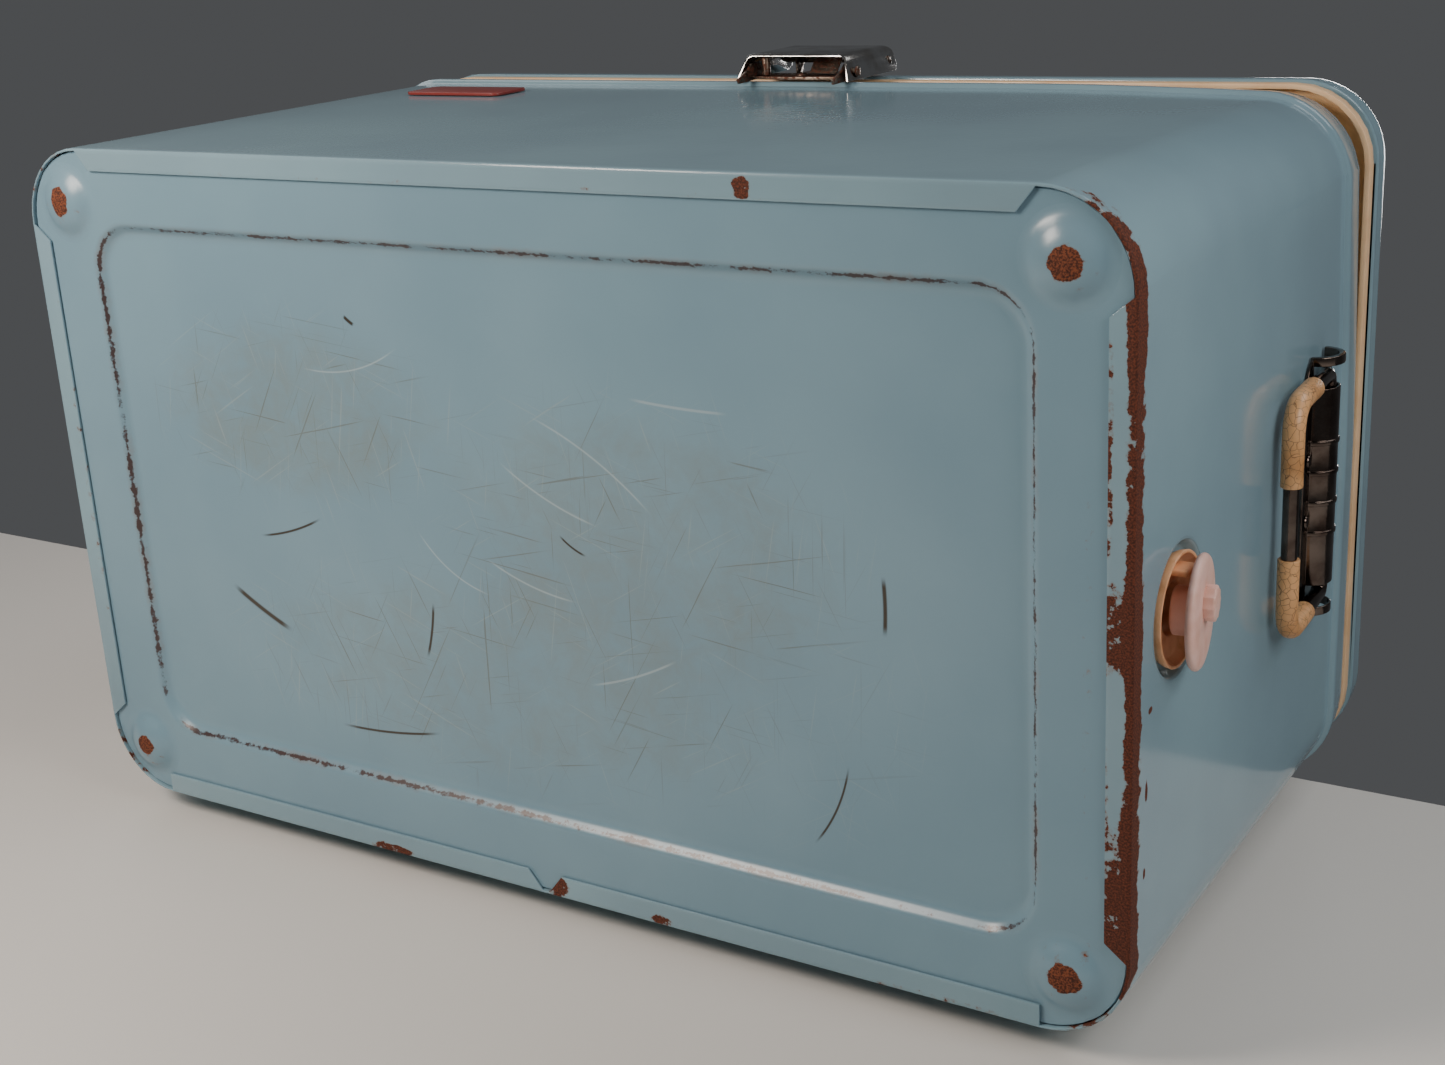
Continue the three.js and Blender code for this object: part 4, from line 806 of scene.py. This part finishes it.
def rod(name: str, points: Sequence[tuple[Vector, float]], radius: float,
        sides: int = 5) -> bpy.types.Object:
    """Bends a round rod along straight runs joined by rounded corners.

    Args:
        name: the piece's name.
        points: corners in metres, each with its bend radius in metres.
        radius: the rod's radius in metres.
        sides: the curve's bevel resolution.

    Returns:
        The rod as a mesh with closed ends.
    """
    path: list[Vector] = [points[0][0]]
    for (before, _), (corner, bend), (after, _) in zip(points, points[1:], points[2:]):
        to_before, to_after = (before - corner).normalized(), (after - corner).normalized()
        if bend <= 0:
            path.append(corner)
            continue
        start, end = corner + to_before * bend, corner + to_after * bend
        for i in range(BEND_STEPS + 1):
            t = i / BEND_STEPS
            path.append(start * (1 - t) ** 2 + corner * 2 * t * (1 - t) + end * t**2)
    path.append(points[-1][0])
    curve = bpy.data.curves.new(name, "CURVE")
    curve.dimensions = "3D"
    curve.bevel_depth = radius
    curve.bevel_resolution = sides
    curve.use_fill_caps = True
    spline = curve.splines.new("POLY")
    spline.points.add(len(path) - 1)
    for point, place in zip(spline.points, path):
        point.co = (*place, 1)
    piece = bpy.data.objects.new(name, curve)
    bpy.context.collection.objects.link(piece)
    make_active(piece)
    bpy.ops.object.convert(target="MESH")
    edit(piece, lambda: bpy.ops.mesh.remove_doubles(threshold=SAME_POINT))
    recalculate(piece)
    return piece


def refined(node: str, edge_mm: float, segments: int = 2, angle: float = 35.0) -> bpy.types.Object:
    """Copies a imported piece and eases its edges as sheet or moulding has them.

    Args:
        node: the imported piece.
        edge_mm: how far each sharp edge is rounded.
        segments: how finely.
        angle: edges sharper than this many degrees are rounded.

    Returns:
        The new object.
    """
    mesh = frame["nodes"][node].data.copy()
    piece = bpy.data.objects.new(f"{node}_finished", mesh)
    bpy.context.collection.objects.link(piece)

    def clean() -> None:
        """Merges loose triangles and dissolves flat ones."""
        bpy.ops.mesh.remove_doubles(threshold=LOOSE_POINT)
        bpy.ops.mesh.dissolve_limited(angle_limit=math.radians(1.0))

    edit(piece, clean)
    apply_modifier(piece, "BEVEL", width=edge_mm * MM, segments=segments, limit_method="ANGLE",
                   angle_limit=math.radians(angle), use_clamp_overlap=True, harden_normals=False)
    smooth(piece, 40.0)
    return piece


def adopt(piece: bpy.types.Object, body: str, slot: str, material: bpy.types.Material,
          *nodes: str) -> None:
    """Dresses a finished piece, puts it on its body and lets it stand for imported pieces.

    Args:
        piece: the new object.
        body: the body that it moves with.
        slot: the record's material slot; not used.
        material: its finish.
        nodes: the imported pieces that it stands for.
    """
    piece.data.materials.clear()
    piece.data.materials.append(material)
    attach(piece, body)
    if nodes:
        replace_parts(piece, *nodes)
    LOG.info("%s: %d faces on %s", piece.name, len(piece.data.polygons), body)


# ---------------------------------------------------------------- sub-assemblies

# Rust on the body sheet, where the chest has stood on its bottom fold and been dragged on its right side.
BODY_RUST = (
    Patch((282, -60, 3), (6.5, 120, 12), 0.46),
    Patch((282, 60, 3), (6.5, 120, 12), 0.46),
    Patch((270, -6, 4), (16, 20, 12), 0.44),
    Patch((270, -92, 4), (2.2, 30, 12), 0.30),
    Patch((270, -52, 4), (2.2, 24, 12), 0.32),
    Patch((269, 60, 4), (2.6, 30, 12), 0.28),
    Patch((271, 116, 4), (13, 26, 12), 0.42),
    Patch((275, 84, 4), (6, 22, 12), 0.30),
    Patch((282, -118, 4), (7, 22, 12), 0.42),
    Patch((262, -156, 4), (24, 12, 12), 0.34),
    Patch((277, -142, 4), (10, 20, 12), 0.36),
    Patch((268, 157, 4), (24, 12, 12), 0.34),
    Patch((282, 136, 4), (8, 18, 12), 0.40),
    Patch((-268, -156, 4), (22, 20, 7), 0.28),
    Patch((-272, 150, 4), (20, 24, 7), 0.30),
    Patch((-270, 20, 4), (3, 130, 12), 0.20),
    Patch((124, -161, 4), (5, 5, 12), 0.44),
    Patch((6, 161, 4), (9, 8, 12), 0.42),
    Patch((-92, 165, 4), (16, 3.5, 12), 0.42),
    Patch((64, 164, 4), (7, 4, 12), 0.38),
    Patch((200, 166, 4), (50, 3, 12), 0.24),
    Patch((0, -157, 4), (250, 2, 12), 0.14),
    Patch((281, 30, 22), (4, 1.6, 2.4), 0.62),
    Patch((281, 62, 19), (4, 5.5, 1.6), 0.55),
    Patch((281, 96, 18), (4, 3.0, 1.6), 0.55),
    Patch((281, 68, 240), (3, 5, 3), 0.26),
)

PANEL_RUST = (
    Patch((255, -139.5, 0), (6.6, 6.6, 3.0), 0.62),
    Patch((255, 139.5, 0), (7.4, 6.4, 3.0), 0.62),
    Patch((-254, -141.5, 0), (5.6, 7.4, 3.0), 0.62),
    Patch((-254, 140.5, 0), (5.4, 5.4, 3.0), 0.62),
    Patch((254, -138, 3), (20, 19, 5), 0.14),
    Patch((256, 136, 3), (22, 19, 5), 0.16),
    Patch((-254, 140, 3), (18, 18, 5), 0.14),
    Patch((-254, -142, 3), (18, 18, 5), 0.12),
    Patch((262, 20, 5), (3, 110, 5), 0.16),
    Patch((0, 165, 5), (250, 4, 5), 0.08),
)

PANEL_SCUFFS = (
    Patch((-130, -50, 9), (95, 48, 20), 1.0),
    Patch((60, -15, 9), (110, 60, 20), 0.8),
    Patch((-40, 70, 9), (150, 55, 20), 0.75),
    Patch((130, 60, 9), (80, 60, 20), 0.35),
    Patch((0, 0, 9), (250, 140, 20), 0.18),
)

PANEL_MARKS = (
    Stroke((-160, 16), (-118, 2), 2.0, 0.8),
    Stroke((-122, 107), (-58, 100), 2.0, 0.9),
    Stroke((-62, 63), (-55, 34), 1.0, 1.0),
    Stroke((176, 14), (176, -12), 0.6, 1.3),
    Stroke((140, 112), (158, 72), 3.0, 0.7),
    Stroke((-183, 44), (-146, 63), 1.0, 1.8),
    Stroke((20, -8), (34, 0), 1.0, 0.7),
    Stroke((-90, -96), (-84, -92), 0.3, 1.2),
)

PANEL_PALE = (
    Stroke((-10, -38), (42, -14), 3.0, 0.6),
    Stroke((8, -60), (70, -22), -4.0, 0.6),
    Stroke((-22, 8), (28, 22), 3.0, 0.6),
    Stroke((30, 60), (78, 40), 2.0, 0.7),
    Stroke((60, -72), (110, -70), 0.8, 0.8),
    Stroke((-60, 0), (-20, 26), 5.0, 0.5),
    Stroke((-120, -70), (-60, -84), 6.0, 0.5),
)


class Paint(Enum):
    """The three painted sheets, each with its own wear."""

    BODY = BakedEnamel("baked_enamel_body", zones=BODY_RUST)
    PANEL = BakedEnamel("baked_enamel_bottom", colour="#7696a7", pale="#7e9eae", roughness=0.26,
                        rust_light="#86472a", zones=PANEL_RUST, scuffs=PANEL_SCUFFS,
                        marks=PANEL_MARKS, pale_marks=PANEL_PALE, brink=(240.5, 129.5, 22.5))
    LID = BakedEnamel("baked_enamel_lid", zones=(Patch((0, 0, 309), (600, 400, 3), 0.10),))


@dataclass(frozen=True)
class Knock:
    """A blow on the rim at the front right corner, which has drawn it off the lid's line.

    It fades to nothing at its reach along each wall, and from the rim down to its bottom.
    """

    corner: tuple[float, float] = (280.0, -166.5)
    reach: float = 170.0
    front_reach: float = 144.5
    depth: float = 4.6
    front_share: float = 0.8
    bottom: float = 170.0
    rise: float = 110.0
    side_from: float = 240.0
    front_from: float = -130.0
    falloff: float = 1.3
    slack: float = 1.2
    foam: tuple[str, ...] = ("front_insulation", "drain_end_insulation")

    def push(self, piece: bpy.types.Object, extra: float = 0.0) -> None:
        """Pushes a piece's rim in.

        Args:
            piece: the sheet, or the foam behind it.
            extra: how much deeper it is pushed, so that foam stays behind the sheet.
        """
        corner_x, corner_y = (c * MM for c in self.corner)
        depth = (self.depth + extra) * MM
        for vertex in piece.data.vertices:
            x, y, z = vertex.co
            rise = min(max((z / MM - self.bottom) / self.rise, 0.0), 1.0)
            rise = rise * rise * (3 - 2 * rise)
            along_side = max(0.0, 1 - abs(y - corner_y) / (self.reach * MM))
            along_front = max(0.0, 1 - abs(x - corner_x) / (self.front_reach * MM))
            if x > self.side_from * MM:
                vertex.co.x -= depth * rise * along_side**self.falloff
            if y < self.front_from * MM:
                vertex.co.y += depth * self.front_share * rise * along_front**self.falloff


@dataclass
class BodySheet:
    """The painted sheet round the four walls, with its rolled rim, bottom flanges and drain dimple."""

    width: float = 560.0
    depth: float = 333.0
    corner: float = 37.0
    sheet: float = 1.2
    flange: float = 10.5
    snip: float = 8.0
    seam: float = 3.0
    foot: float = 4.0
    drain_height: float = 51.0
    dimple: float = 26.5
    dimple_depth: float = 5.0

    def ring(self, out: float, height: float) -> Ring:
        """A ring that stands off the walls by a distance, at a height."""
        return Ring(self.width + 2 * out, self.depth + 2 * out, self.corner + out, height)

    def profile(self) -> list[tuple[float, float]]:
        """Lists the wall's section: up the outside and down the inside.

        Returns:
            For each point, its distance outside the wall plane and its height.
        """
        low = self.foot
        outside = [
            (-self.sheet, low + 0.2), (-0.75 * self.sheet, low), (-0.35 * self.sheet, low + 0.12),
            (-0.08 * self.sheet, low + 0.5), (0.0, low + 1.3), (0.0, 60.0), (0.0, 150.0), (0.0, 225.0),
            (0.0, 262.0), (0.0, 267.2), (0.25, 268.0), (1.3, 269.0), (2.0, 270.0), (2.2, 271.2),
            (2.1, 273.0), (1.2, 281.5), (0.35, 289.0), (0.05, 290.2), (-0.35, 291.0), (-0.55, 292.0),
            (-0.6, 293.5), (-0.75, 294.9), (-1.2, 295.9),
        ]
        inside = [(out - self.sheet, height) for out, height in reversed(outside[4:21])]
        return outside + inside

    def build(self) -> None:
        """Builds the sheet and dresses it."""
        wall = ring_loft("body_wall", [self.ring(*point) for point in self.profile()], closed=True)
        self.divide(wall)
        self.open_drain(wall)
        sheet = join([wall, *self.flanges(), self.dish()], "body_sheet")
        Knock().push(sheet)
        smooth(sheet, 38.0)
        adopt(sheet, "body", "body_paint", Paint.BODY.value.build(), "body_wrapper")

    def divide(self, wall: bpy.types.Object) -> None:
        """Divides the long straight runs, so that the rim can bend."""
        verts = wall.data.vertices

        def long(edge: bpy.types.MeshEdge) -> bool:
            """Whether an edge runs along a wall."""
            run = verts[edge.vertices[0]].co - verts[edge.vertices[1]].co
            return abs(run.z) < 0.0005 and run.length > 0.1

        pick(wall, long)
        edit(wall, lambda: bpy.ops.mesh.subdivide(number_cuts=15), everything=False)

    def open_drain(self, wall: bpy.types.Object) -> None:
        """Cuts the round opening of the drain's dimple."""
        deselect()
        bpy.ops.mesh.primitive_cylinder_add(vertices=64, radius=(self.dimple + 0.6) * MM, depth=12 * MM,
                                            location=(self.width / 2 * MM, 0, self.drain_height * MM),
                                            rotation=(0, math.pi / 2, 0))
        cutter = bpy.context.object
        bake_place(cutter)
        apply_modifier(wall, "BOOLEAN", object=cutter, operation="DIFFERENCE", solver="EXACT")
        bpy.data.objects.remove(cutter)

    def dish(self) -> bpy.types.Object:
        """Presses the dimple: a rounded brink, a sloping side and a flat floor with a hole."""
        r, d = self.dimple, self.dimple_depth
        section = [(r + 1.6, 0.06), (r + 0.9, 0.0), (r + 0.2, -0.35), (r - 0.4, -1.0),
                   (r - 1.7, -d + 0.9), (r - 2.3, -d + 0.2), (r - 3.1, -d), (13.0, -d),
                   (13.0, -d - self.sheet), (r - 2.6, -d - self.sheet), (r - 1.0, -d), (r + 0.6, -1.4),
                   (r + 1.6, -0.7), (r + 1.6, 0.06)]
        dish = turned("dimple", section, 72)
        dish.data.transform(Matrix.Translation((self.width / 2 * MM, 0, self.drain_height * MM))
                            @ Matrix.Rotation(math.pi / 2, 4, "Y"))
        return dish

    def flanges(self) -> list[bpy.types.Object]:
        """Folds four flanges under the body, with snipped ends and the seam's gap at the back."""
        straight = (self.width - 2 * self.corner, self.depth - 2 * self.corner)
        pieces = [self.flange_sheet(straight[0], 0.0, self.depth / 2)]
        half = (straight[0] - self.seam) / 2
        for side in (-1, 1):
            shift = side * (half + self.seam) / 2
            pieces.append(self.flange_sheet(half, math.pi, self.depth / 2, shift, side))
        pieces.append(self.flange_sheet(straight[1], math.pi / 2, self.width / 2))
        pieces.append(self.flange_sheet(straight[1], -math.pi / 2, self.width / 2))
        return pieces

    def flange_sheet(self, length: float, turn: float, reach: float, shift: float = 0.0,
                     square_end: int = 0) -> bpy.types.Object:
        """Makes one flange.

        Args:
            length: along the wall, in millimetres.
            turn: which wall it is on, as an angle from the front.
            reach: from the middle to that wall.
            shift: the flange's middle along the wall.
            square_end: +1 or -1 where the end beside the seam stays square.

        Returns:
            The flange.
        """
        deselect()
        bpy.ops.mesh.primitive_plane_add(size=1)
        flange = bpy.context.object
        inner, outer = -self.flange, -0.5 * self.sheet
        for vertex in flange.data.vertices:
            side = 1 if vertex.co.x > 0 else -1
            snip = 0.0 if side == -square_end else self.snip
            is_inner = vertex.co.y > 0
            vertex.co.x = (side * length / 2 - (side * snip if is_inner else 0)) * MM
            vertex.co.y = (-(reach + (inner if is_inner else outer))) * MM
        edit(flange, lambda: bpy.ops.mesh.subdivide(number_cuts=5))
        apply_modifier(flange, "SOLIDIFY", thickness=self.sheet * MM, offset=1.0)
        apply_modifier(flange, "BEVEL", width=0.35 * MM, segments=2, limit_method="ANGLE")
        low = min(v.co.z for v in flange.data.vertices)
        along = shift * (-1 if turn == math.pi else 1) * MM
        flange.data.transform(Matrix.Translation((along, 0, self.foot * MM - low)))
        flange.data.transform(Matrix.Rotation(turn, 4, "Z"))
        return flange


@dataclass
class BottomPanel:
    """The painted bottom: a flat border, a recessed middle and four domed feet."""

    width: float = 560.0
    depth: float = 333.0
    inset: float = 1.6
    corner: float = 37.0
    border: tuple[float, float] = (38.0, 35.0)
    level: float = 5.6
    recess: float = 4.5
    sheet: float = 1.2
    foot_inset: float = 26.0

    def build(self) -> None:
        """Builds the panel with its feet and dresses it."""
        rings = [self.ring(self.inset, self.inset, self.corner - self.inset, self.level + 3.0),
                 self.ring(self.inset, self.inset, self.corner - self.inset, self.level + 0.6),
                 self.ring(self.inset + 0.5, self.inset + 0.5, self.corner - self.inset - 0.5, self.level)]
        shape = ((-1.5, 0.0), (-0.3, 0.03), (0.6, 0.12), (1.6, 0.3),
                 (3.2, 0.66), (4.6, 0.88), (6.0, 0.97), (8.5, 1.0))
        for across, rise in shape:
            rings.append(self.ring(self.border[0] + across, self.border[1] + across, 24 - across * 0.8,
                                   self.level + rise * self.recess))
        panel = ring_loft("panel_sheet", rings, segments=12, caps=False)
        last = rings[-1]
        mesh = panel.data

        def innermost(edge: bpy.types.MeshEdge) -> bool:
            """Whether an edge lies on the innermost ring."""
            return all(abs(mesh.vertices[i].co.z - last.height * MM) < 1e-6 for i in edge.vertices)

        pick(panel, innermost)
        edit(panel, bpy.ops.mesh.edge_face_add, everything=False)
        self.face_down(panel)
        apply_modifier(panel, "SOLIDIFY", thickness=self.sheet * MM * 0.8, offset=-1.0)
        foot_x, foot_y = self.width / 2 - self.foot_inset, self.depth / 2 - self.foot_inset
        feet = [self.foot(x * foot_x, y * foot_y) for x in (-1, 1) for y in (-1, 1)]
        whole = join([panel, *feet], "bottom_sheet")
        smooth(whole, 40.0)
        adopt(whole, "body", "panel_paint", Paint.PANEL.value.build(), "bottom_panel")

    def ring(self, inset_x: float, inset_y: float, radius: float, height: float) -> Ring:
        """A ring set in from the walls."""
        return Ring(self.width - 2 * inset_x, self.depth - 2 * inset_y, radius, height)

    def face_down(self, panel: bpy.types.Object) -> None:
        """Turns the panel's flat faces to look down."""
        biggest = max(panel.data.polygons, key=lambda p: p.area)
        if biggest.normal.z > 0:
            edit(panel, bpy.ops.mesh.flip_normals)

    def foot(self, x: float, y: float) -> bpy.types.Object:
        """Turns one pressed foot, which flares into the border."""
        top = self.level
        section = [(0.0, 0.0), (2.4, 0.05), (4.6, 0.28), (7.6, 0.95), (10.4, 2.0), (12.6, 3.2),
                   (14.4, 4.4), (16.2, 5.15), (18.2, 5.5), (19.6, top + 0.02), (19.6, top + 1.0),
                   (14.0, top + 0.9), (0.0, 2.0)]
        foot = turned("foot", section, 56)
        foot.data.transform(Matrix.Translation((x * MM, y * MM, 0)))
        return foot


@dataclass
class Lid:
    """The lid's painted shell, with a rolled hem and a crowned top."""

    width: float = 560.0
    depth: float = 333.0
    corner: float = 37.0
    hem: float = 308.0
    height: float = 29.0
    round: float = 14.0
    sheet: float = 1.2
    crown: float = 1.4

    def build(self) -> None:
        """Builds the shell and dresses it."""
        shoulder = self.hem + self.height - self.crown - self.round
        outer = [(self.round * (math.cos(a) - 1), shoulder + self.round * math.sin(a))
                 for a in (math.radians(10 * i) for i in range(10))]
        top = [(-26.0, shoulder + self.round + 0.45), (-46.0, shoulder + self.round + 0.85),
               (-80.0, shoulder + self.round + 1.15), (-125.0, self.hem + self.height)]
        hem = [(-4.0, self.hem + self.sheet), (-4.0, self.hem + 0.3), (-3.7, self.hem), (-0.2, self.hem),
               (0.45, self.hem + 0.35), (0.8, self.hem + 1.2), (0.8, self.hem + 3.2), (0.5, self.hem + 4.0),
               (0.1, self.hem + 4.5), (0.0, self.hem + 5.6)]
        inner = [(out - self.sheet * math.cos(math.radians(min(10 * i, 90))),
                  height - self.sheet * math.sin(math.radians(min(10 * i, 90))))
                 for i, (out, height) in enumerate(outer)]
        under = [(out, height - self.sheet) for out, height in top]
        inside = [*reversed(under), *reversed(inner), (-self.sheet, self.hem + self.sheet)]
        section = [*inside, *hem, *outer, *top]
        rings = [Ring(self.width + 2 * out, self.depth + 2 * out, max(self.corner + out, 6.0), height)
                 for out, height in section]
        shell = ring_loft("lid_sheet", rings, segments=10)
        smooth(shell, 38.0)
        adopt(shell, "lid", "lid_paint", Paint.LID.value.build(), "lid_shell")


@dataclass
class BailHandle:
    """One end's handle: a pressed bracket with a half-round hood, a bent rod and two grip sleeves."""

    side: str
    outward: int
    wall: float = 280.0
    height: float = 224.0
    pivot_out: float = 5.4
    grip_out: float = 8.0
    drop: float = 59.0
    half: float = 51.0
    corner: float = 14.0
    stub: float = 14.0
    radius: float = 3.5
    sleeve: float = 4.75
    grip_leg: float = 18.0
    grip_foot: float = 35.0

    def at(self, y: float, drop: float) -> Vector:
        """A point in metres on the bail's plane, along the grip and down from the pivot."""
        lean = (self.grip_out - self.pivot_out) / self.drop
        out = self.pivot_out + lean * drop
        return Vector((self.outward * (self.wall + out) * MM, y * MM, (self.height - drop) * MM))

    def build(self, chrome: bpy.types.Material, cream: bpy.types.Material) -> None:
        """Builds the handle's moving pieces and its bracket."""
        h, d, b = self.half, self.drop, self.corner * MM
        corners = [(self.at(-h + self.stub, 0), 0), (self.at(-h, 0), 5 * MM), (self.at(-h, d), b),
                   (self.at(h, d), b), (self.at(h, 0), 5 * MM), (self.at(h - self.stub, 0), 0)]
        bail = rod(f"handle_{self.side}_rod", corners, self.radius * MM)
        smooth(bail, 50.0)
        adopt(bail, f"handle_{self.side}", "handle_chrome", chrome, f"handle_{self.side}_bail")
        for end, sign in (("front", -1), ("back", 1)):
            points = [(self.at(sign * h, d - self.corner - self.grip_leg), 0), (self.at(sign * h, d), b),
                      (self.at(sign * (h - self.grip_foot), d), 0)]
            grip = rod(f"handle_{self.side}_sleeve_{end}", points, self.sleeve * MM, 6)
            self.shape_grip(grip)
            smooth(grip, 60.0)
            adopt(grip, f"handle_{self.side}", "grip_plastic", cream, f"handle_{self.side}_grip_{end}")
        bracket = refined(f"handle_{self.side}_bracket", 0.45, 3)
        adopt(bracket, "body", "handle_chrome", chrome, f"handle_{self.side}_bracket")

    def shape_grip(self, grip: bpy.types.Object) -> None:
        """Rounds the sleeve's two ends, as dipped plastic has them."""
        apply_modifier(grip, "BEVEL", width=0.9 * MM, segments=3, limit_method="ANGLE",
                       angle_limit=math.radians(60))


@dataclass
class Drain:
    """The drain: a collar set in the wall's dimple, and a pull-out cap with a thumb knob on a strap."""

    wall: float = 280.0
    height: float = 51.0
    collar: float = 23.0
    bore: float = 10.0
    tube: float = 12.6
    tube_length: float = 39.3
    cap: float = 22.5
    cap_back: float = 6.2
    cap_thickness: float = 4.0
    cap_tilt: float = 8.5
    dimple_depth: float = 5.0
    knob: float = 6.6
    knob_depth: float = 5.0
    knob_shift: float = 4.0
    flutes: int = 10
    flute_swell: float = 0.055

    def place(self, piece: bpy.types.Object) -> None:
        """Turns a piece made about +Z to stand out of the right wall at the drain's height."""
        piece.data.transform(Matrix.Translation((self.wall * MM, 0, self.height * MM))
                             @ Matrix.Rotation(math.pi / 2, 4, "Y"))

    def build(self, cream: bpy.types.Material, cap_cream: bpy.types.Material) -> None:
        """Builds the collar, strap and cap."""
        bed = -self.dimple_depth + 0.4
        r = self.collar
        bore, tube, deep = self.bore, self.tube, -self.tube_length
        section = [(bore, deep), (tube, deep), (tube, bed), (r - 2.0, bed), (r - 0.6, bed + 2.6),
                   (r, 0.7), (r - 0.2, 1.1), (r - 0.7, 1.2), (r - 1.3, 1.0), (r - 1.7, 0.3),
                   (r - 3.4, bed + 2.4), (r - 4.4, bed + 1.9), (11.4, bed + 1.9), (10.6, bed + 1.6),
                   (bore, bed + 0.8), (bore, deep)]
        collar = turned("drain_socket", section, 72)
        self.place(collar)
        smooth(collar, 40.0)
        adopt(collar, "body", "drain_plastic", cream, "drain_collar")
        self.build_cap(cap_cream)
        strap = refined("drain_strap", 0.9, 3)
        adopt(strap, "body", "drain_plastic", cream, "drain_strap")

    def build_cap(self, material: bpy.types.Material) -> None:
        """Turns the cap and adds its fluted knob."""
        low, top, r = self.cap_back, self.cap_back + self.cap_thickness, self.cap
        section = [(0.0, low - 8.0), (8.6, low - 8.0), (9.4, low - 7.4), (9.6, low - 6.6), (9.5, low),
                   (r - 2.2, low), (r - 0.9, low + 0.3), (r - 0.15, low + 1.2), (r, low + 2.0),
                   (r - 0.25, low + 2.8), (r - 1.1, low + 3.6), (r - 2.6, top), (12.0, top + 0.05),
                   (0.0, top + 0.1)]
        disc = turned("cap_disc", section, 72)
        deselect()
        bpy.ops.mesh.primitive_cylinder_add(vertices=40, radius=self.knob * MM, depth=self.knob_depth * MM,
                                            location=(0, 0, (top + 2.0) * MM))
        knob = bpy.context.object
        bake_place(knob)
        for vertex in knob.data.vertices:
            angle = math.atan2(vertex.co.y, vertex.co.x)
            swell = 1 + self.flute_swell * math.cos(self.flutes * angle)
            vertex.co.x *= swell
            vertex.co.y *= swell
        apply_modifier(knob, "BEVEL", width=0.9 * MM, segments=3, limit_method="ANGLE",
                       angle_limit=math.radians(50))
        knob.data.transform(Matrix.Translation((0, -self.knob_shift * MM, 0)))
        cap = join([disc, knob], "drain_stopper")
        pivot = Matrix.Translation((0, 0, low * MM))
        tilt = Matrix.Rotation(-math.radians(self.cap_tilt), 4, "Y")
        cap.data.transform(pivot @ tilt @ pivot.inverted())
        self.place(cap)
        smooth(cap, 40.0)
        adopt(cap, "drain_cap", "drain_plastic", material, "drain_cap")


@dataclass
class Fittings:
    """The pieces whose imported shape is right: they keep it, with eased edges and a real finish."""

    edge: float = 0.3
    rivet_edge: float = 0.15

    def body_of(self, node: str) -> str:
        """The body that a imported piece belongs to."""
        bodies = frame["record"]["behaviour"]["bodies"]
        return next(name for name, nodes in bodies.items() if node in nodes)

    def build(self, finishes: dict[str, bpy.types.Material], done: set[str]) -> None:
        """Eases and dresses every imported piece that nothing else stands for.

        Args:
            finishes: a material for each of the record's slots.
            done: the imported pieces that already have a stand-in.
        """
        knock = Knock()
        for entry in frame["record"]["subparts"]:
            node, slot = entry["node"], entry["material_slot"]
            if node in done:
                continue
            piece = refined(node, self.rivet_edge if "rivet" in node else self.edge)
            if node in knock.foam:
                knock.push(piece, knock.slack)
            adopt(piece, self.body_of(node), slot, finishes[slot], node)


# What each of the record's slots is made of, apart from the painted sheets.
FITTING_FINISHES = {
    "latch_chrome": PlatedSteel("chromed_steel_latch", "#d3d3d2", "#a5a09a", roughness=0.07,
                                rust_level=0.72),
    # The handle's plating, on the rod and the bracket, has a dark brown colour that stands in for the dark
    # surroundings it mirrors: a painted dark reflection.
    "handle_chrome": PlatedSteel("chromed_steel_handle_painted_reflection", "#6d625b", "#433631", roughness=0.09,
                                 rust_level=0.74),
    "latch_steel": PlatedSteel("rusted_steel_fittings", "#8d8177", "#5d4c40", roughness=0.28,
                               rust_level=0.5),
    "hinge_zinc": PlatedSteel("dull_zinc_hinge", "#a7a39b", "#7d776d", roughness=0.3, rust_level=0.68),
    "grip_plastic": AgedPlastic("crazed_grip_vinyl", "#dfac78", "#bb8650", "#5a3c20", roughness=0.3,
                                crack_mm=3.6, crack_share=0.7),
    "liner_plastic": AgedPlastic("aged_styrene_liner", "#f3cda2", "#e3b88a", roughness=0.3),
    "tray_plastic": AgedPlastic("aged_styrene_tray", "#eedfc2", "#e0cba4", roughness=0.28),
    "drain_plastic": AgedPlastic("aged_nylon_collar", "#f2b98b", "#d39466", roughness=0.4, mottle_mm=7.0),
    "black_rubber": MouldedRubber(),
    "foam": PouredFoam(),
    "badge_enamel": BakedEnamel("red_badge_enamel", "#7d2a28", "#8a3833", roughness=0.3, threshold=0.9),
}
CAP_FINISH = AgedPlastic("pale_nylon_cap", "#ecc3b8", "#deae9e", roughness=0.35, mottle_mm=9.0)


def main() -> None:
    """Builds the studio and the chest."""
    logging.basicConfig(level=logging.INFO, format="%(name)s: %(message)s")
    Camera().build()
    Studio().build()
    finishes = {slot: finish.build() for slot, finish in FITTING_FINISHES.items()}
    cap = CAP_FINISH.build()
    BodySheet().build()
    BottomPanel().build()
    Lid().build()
    for side, outward in (("right", 1), ("left", -1)):
        BailHandle(side, outward).build(finishes["handle_chrome"], finishes["grip_plastic"])
    Drain().build(finishes["drain_plastic"], cap)
    done = {node for piece in bpy.data.objects for node in piece.get("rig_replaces", [])}
    Fittings().build(finishes, done)


if __name__ == "__main__":
    main()
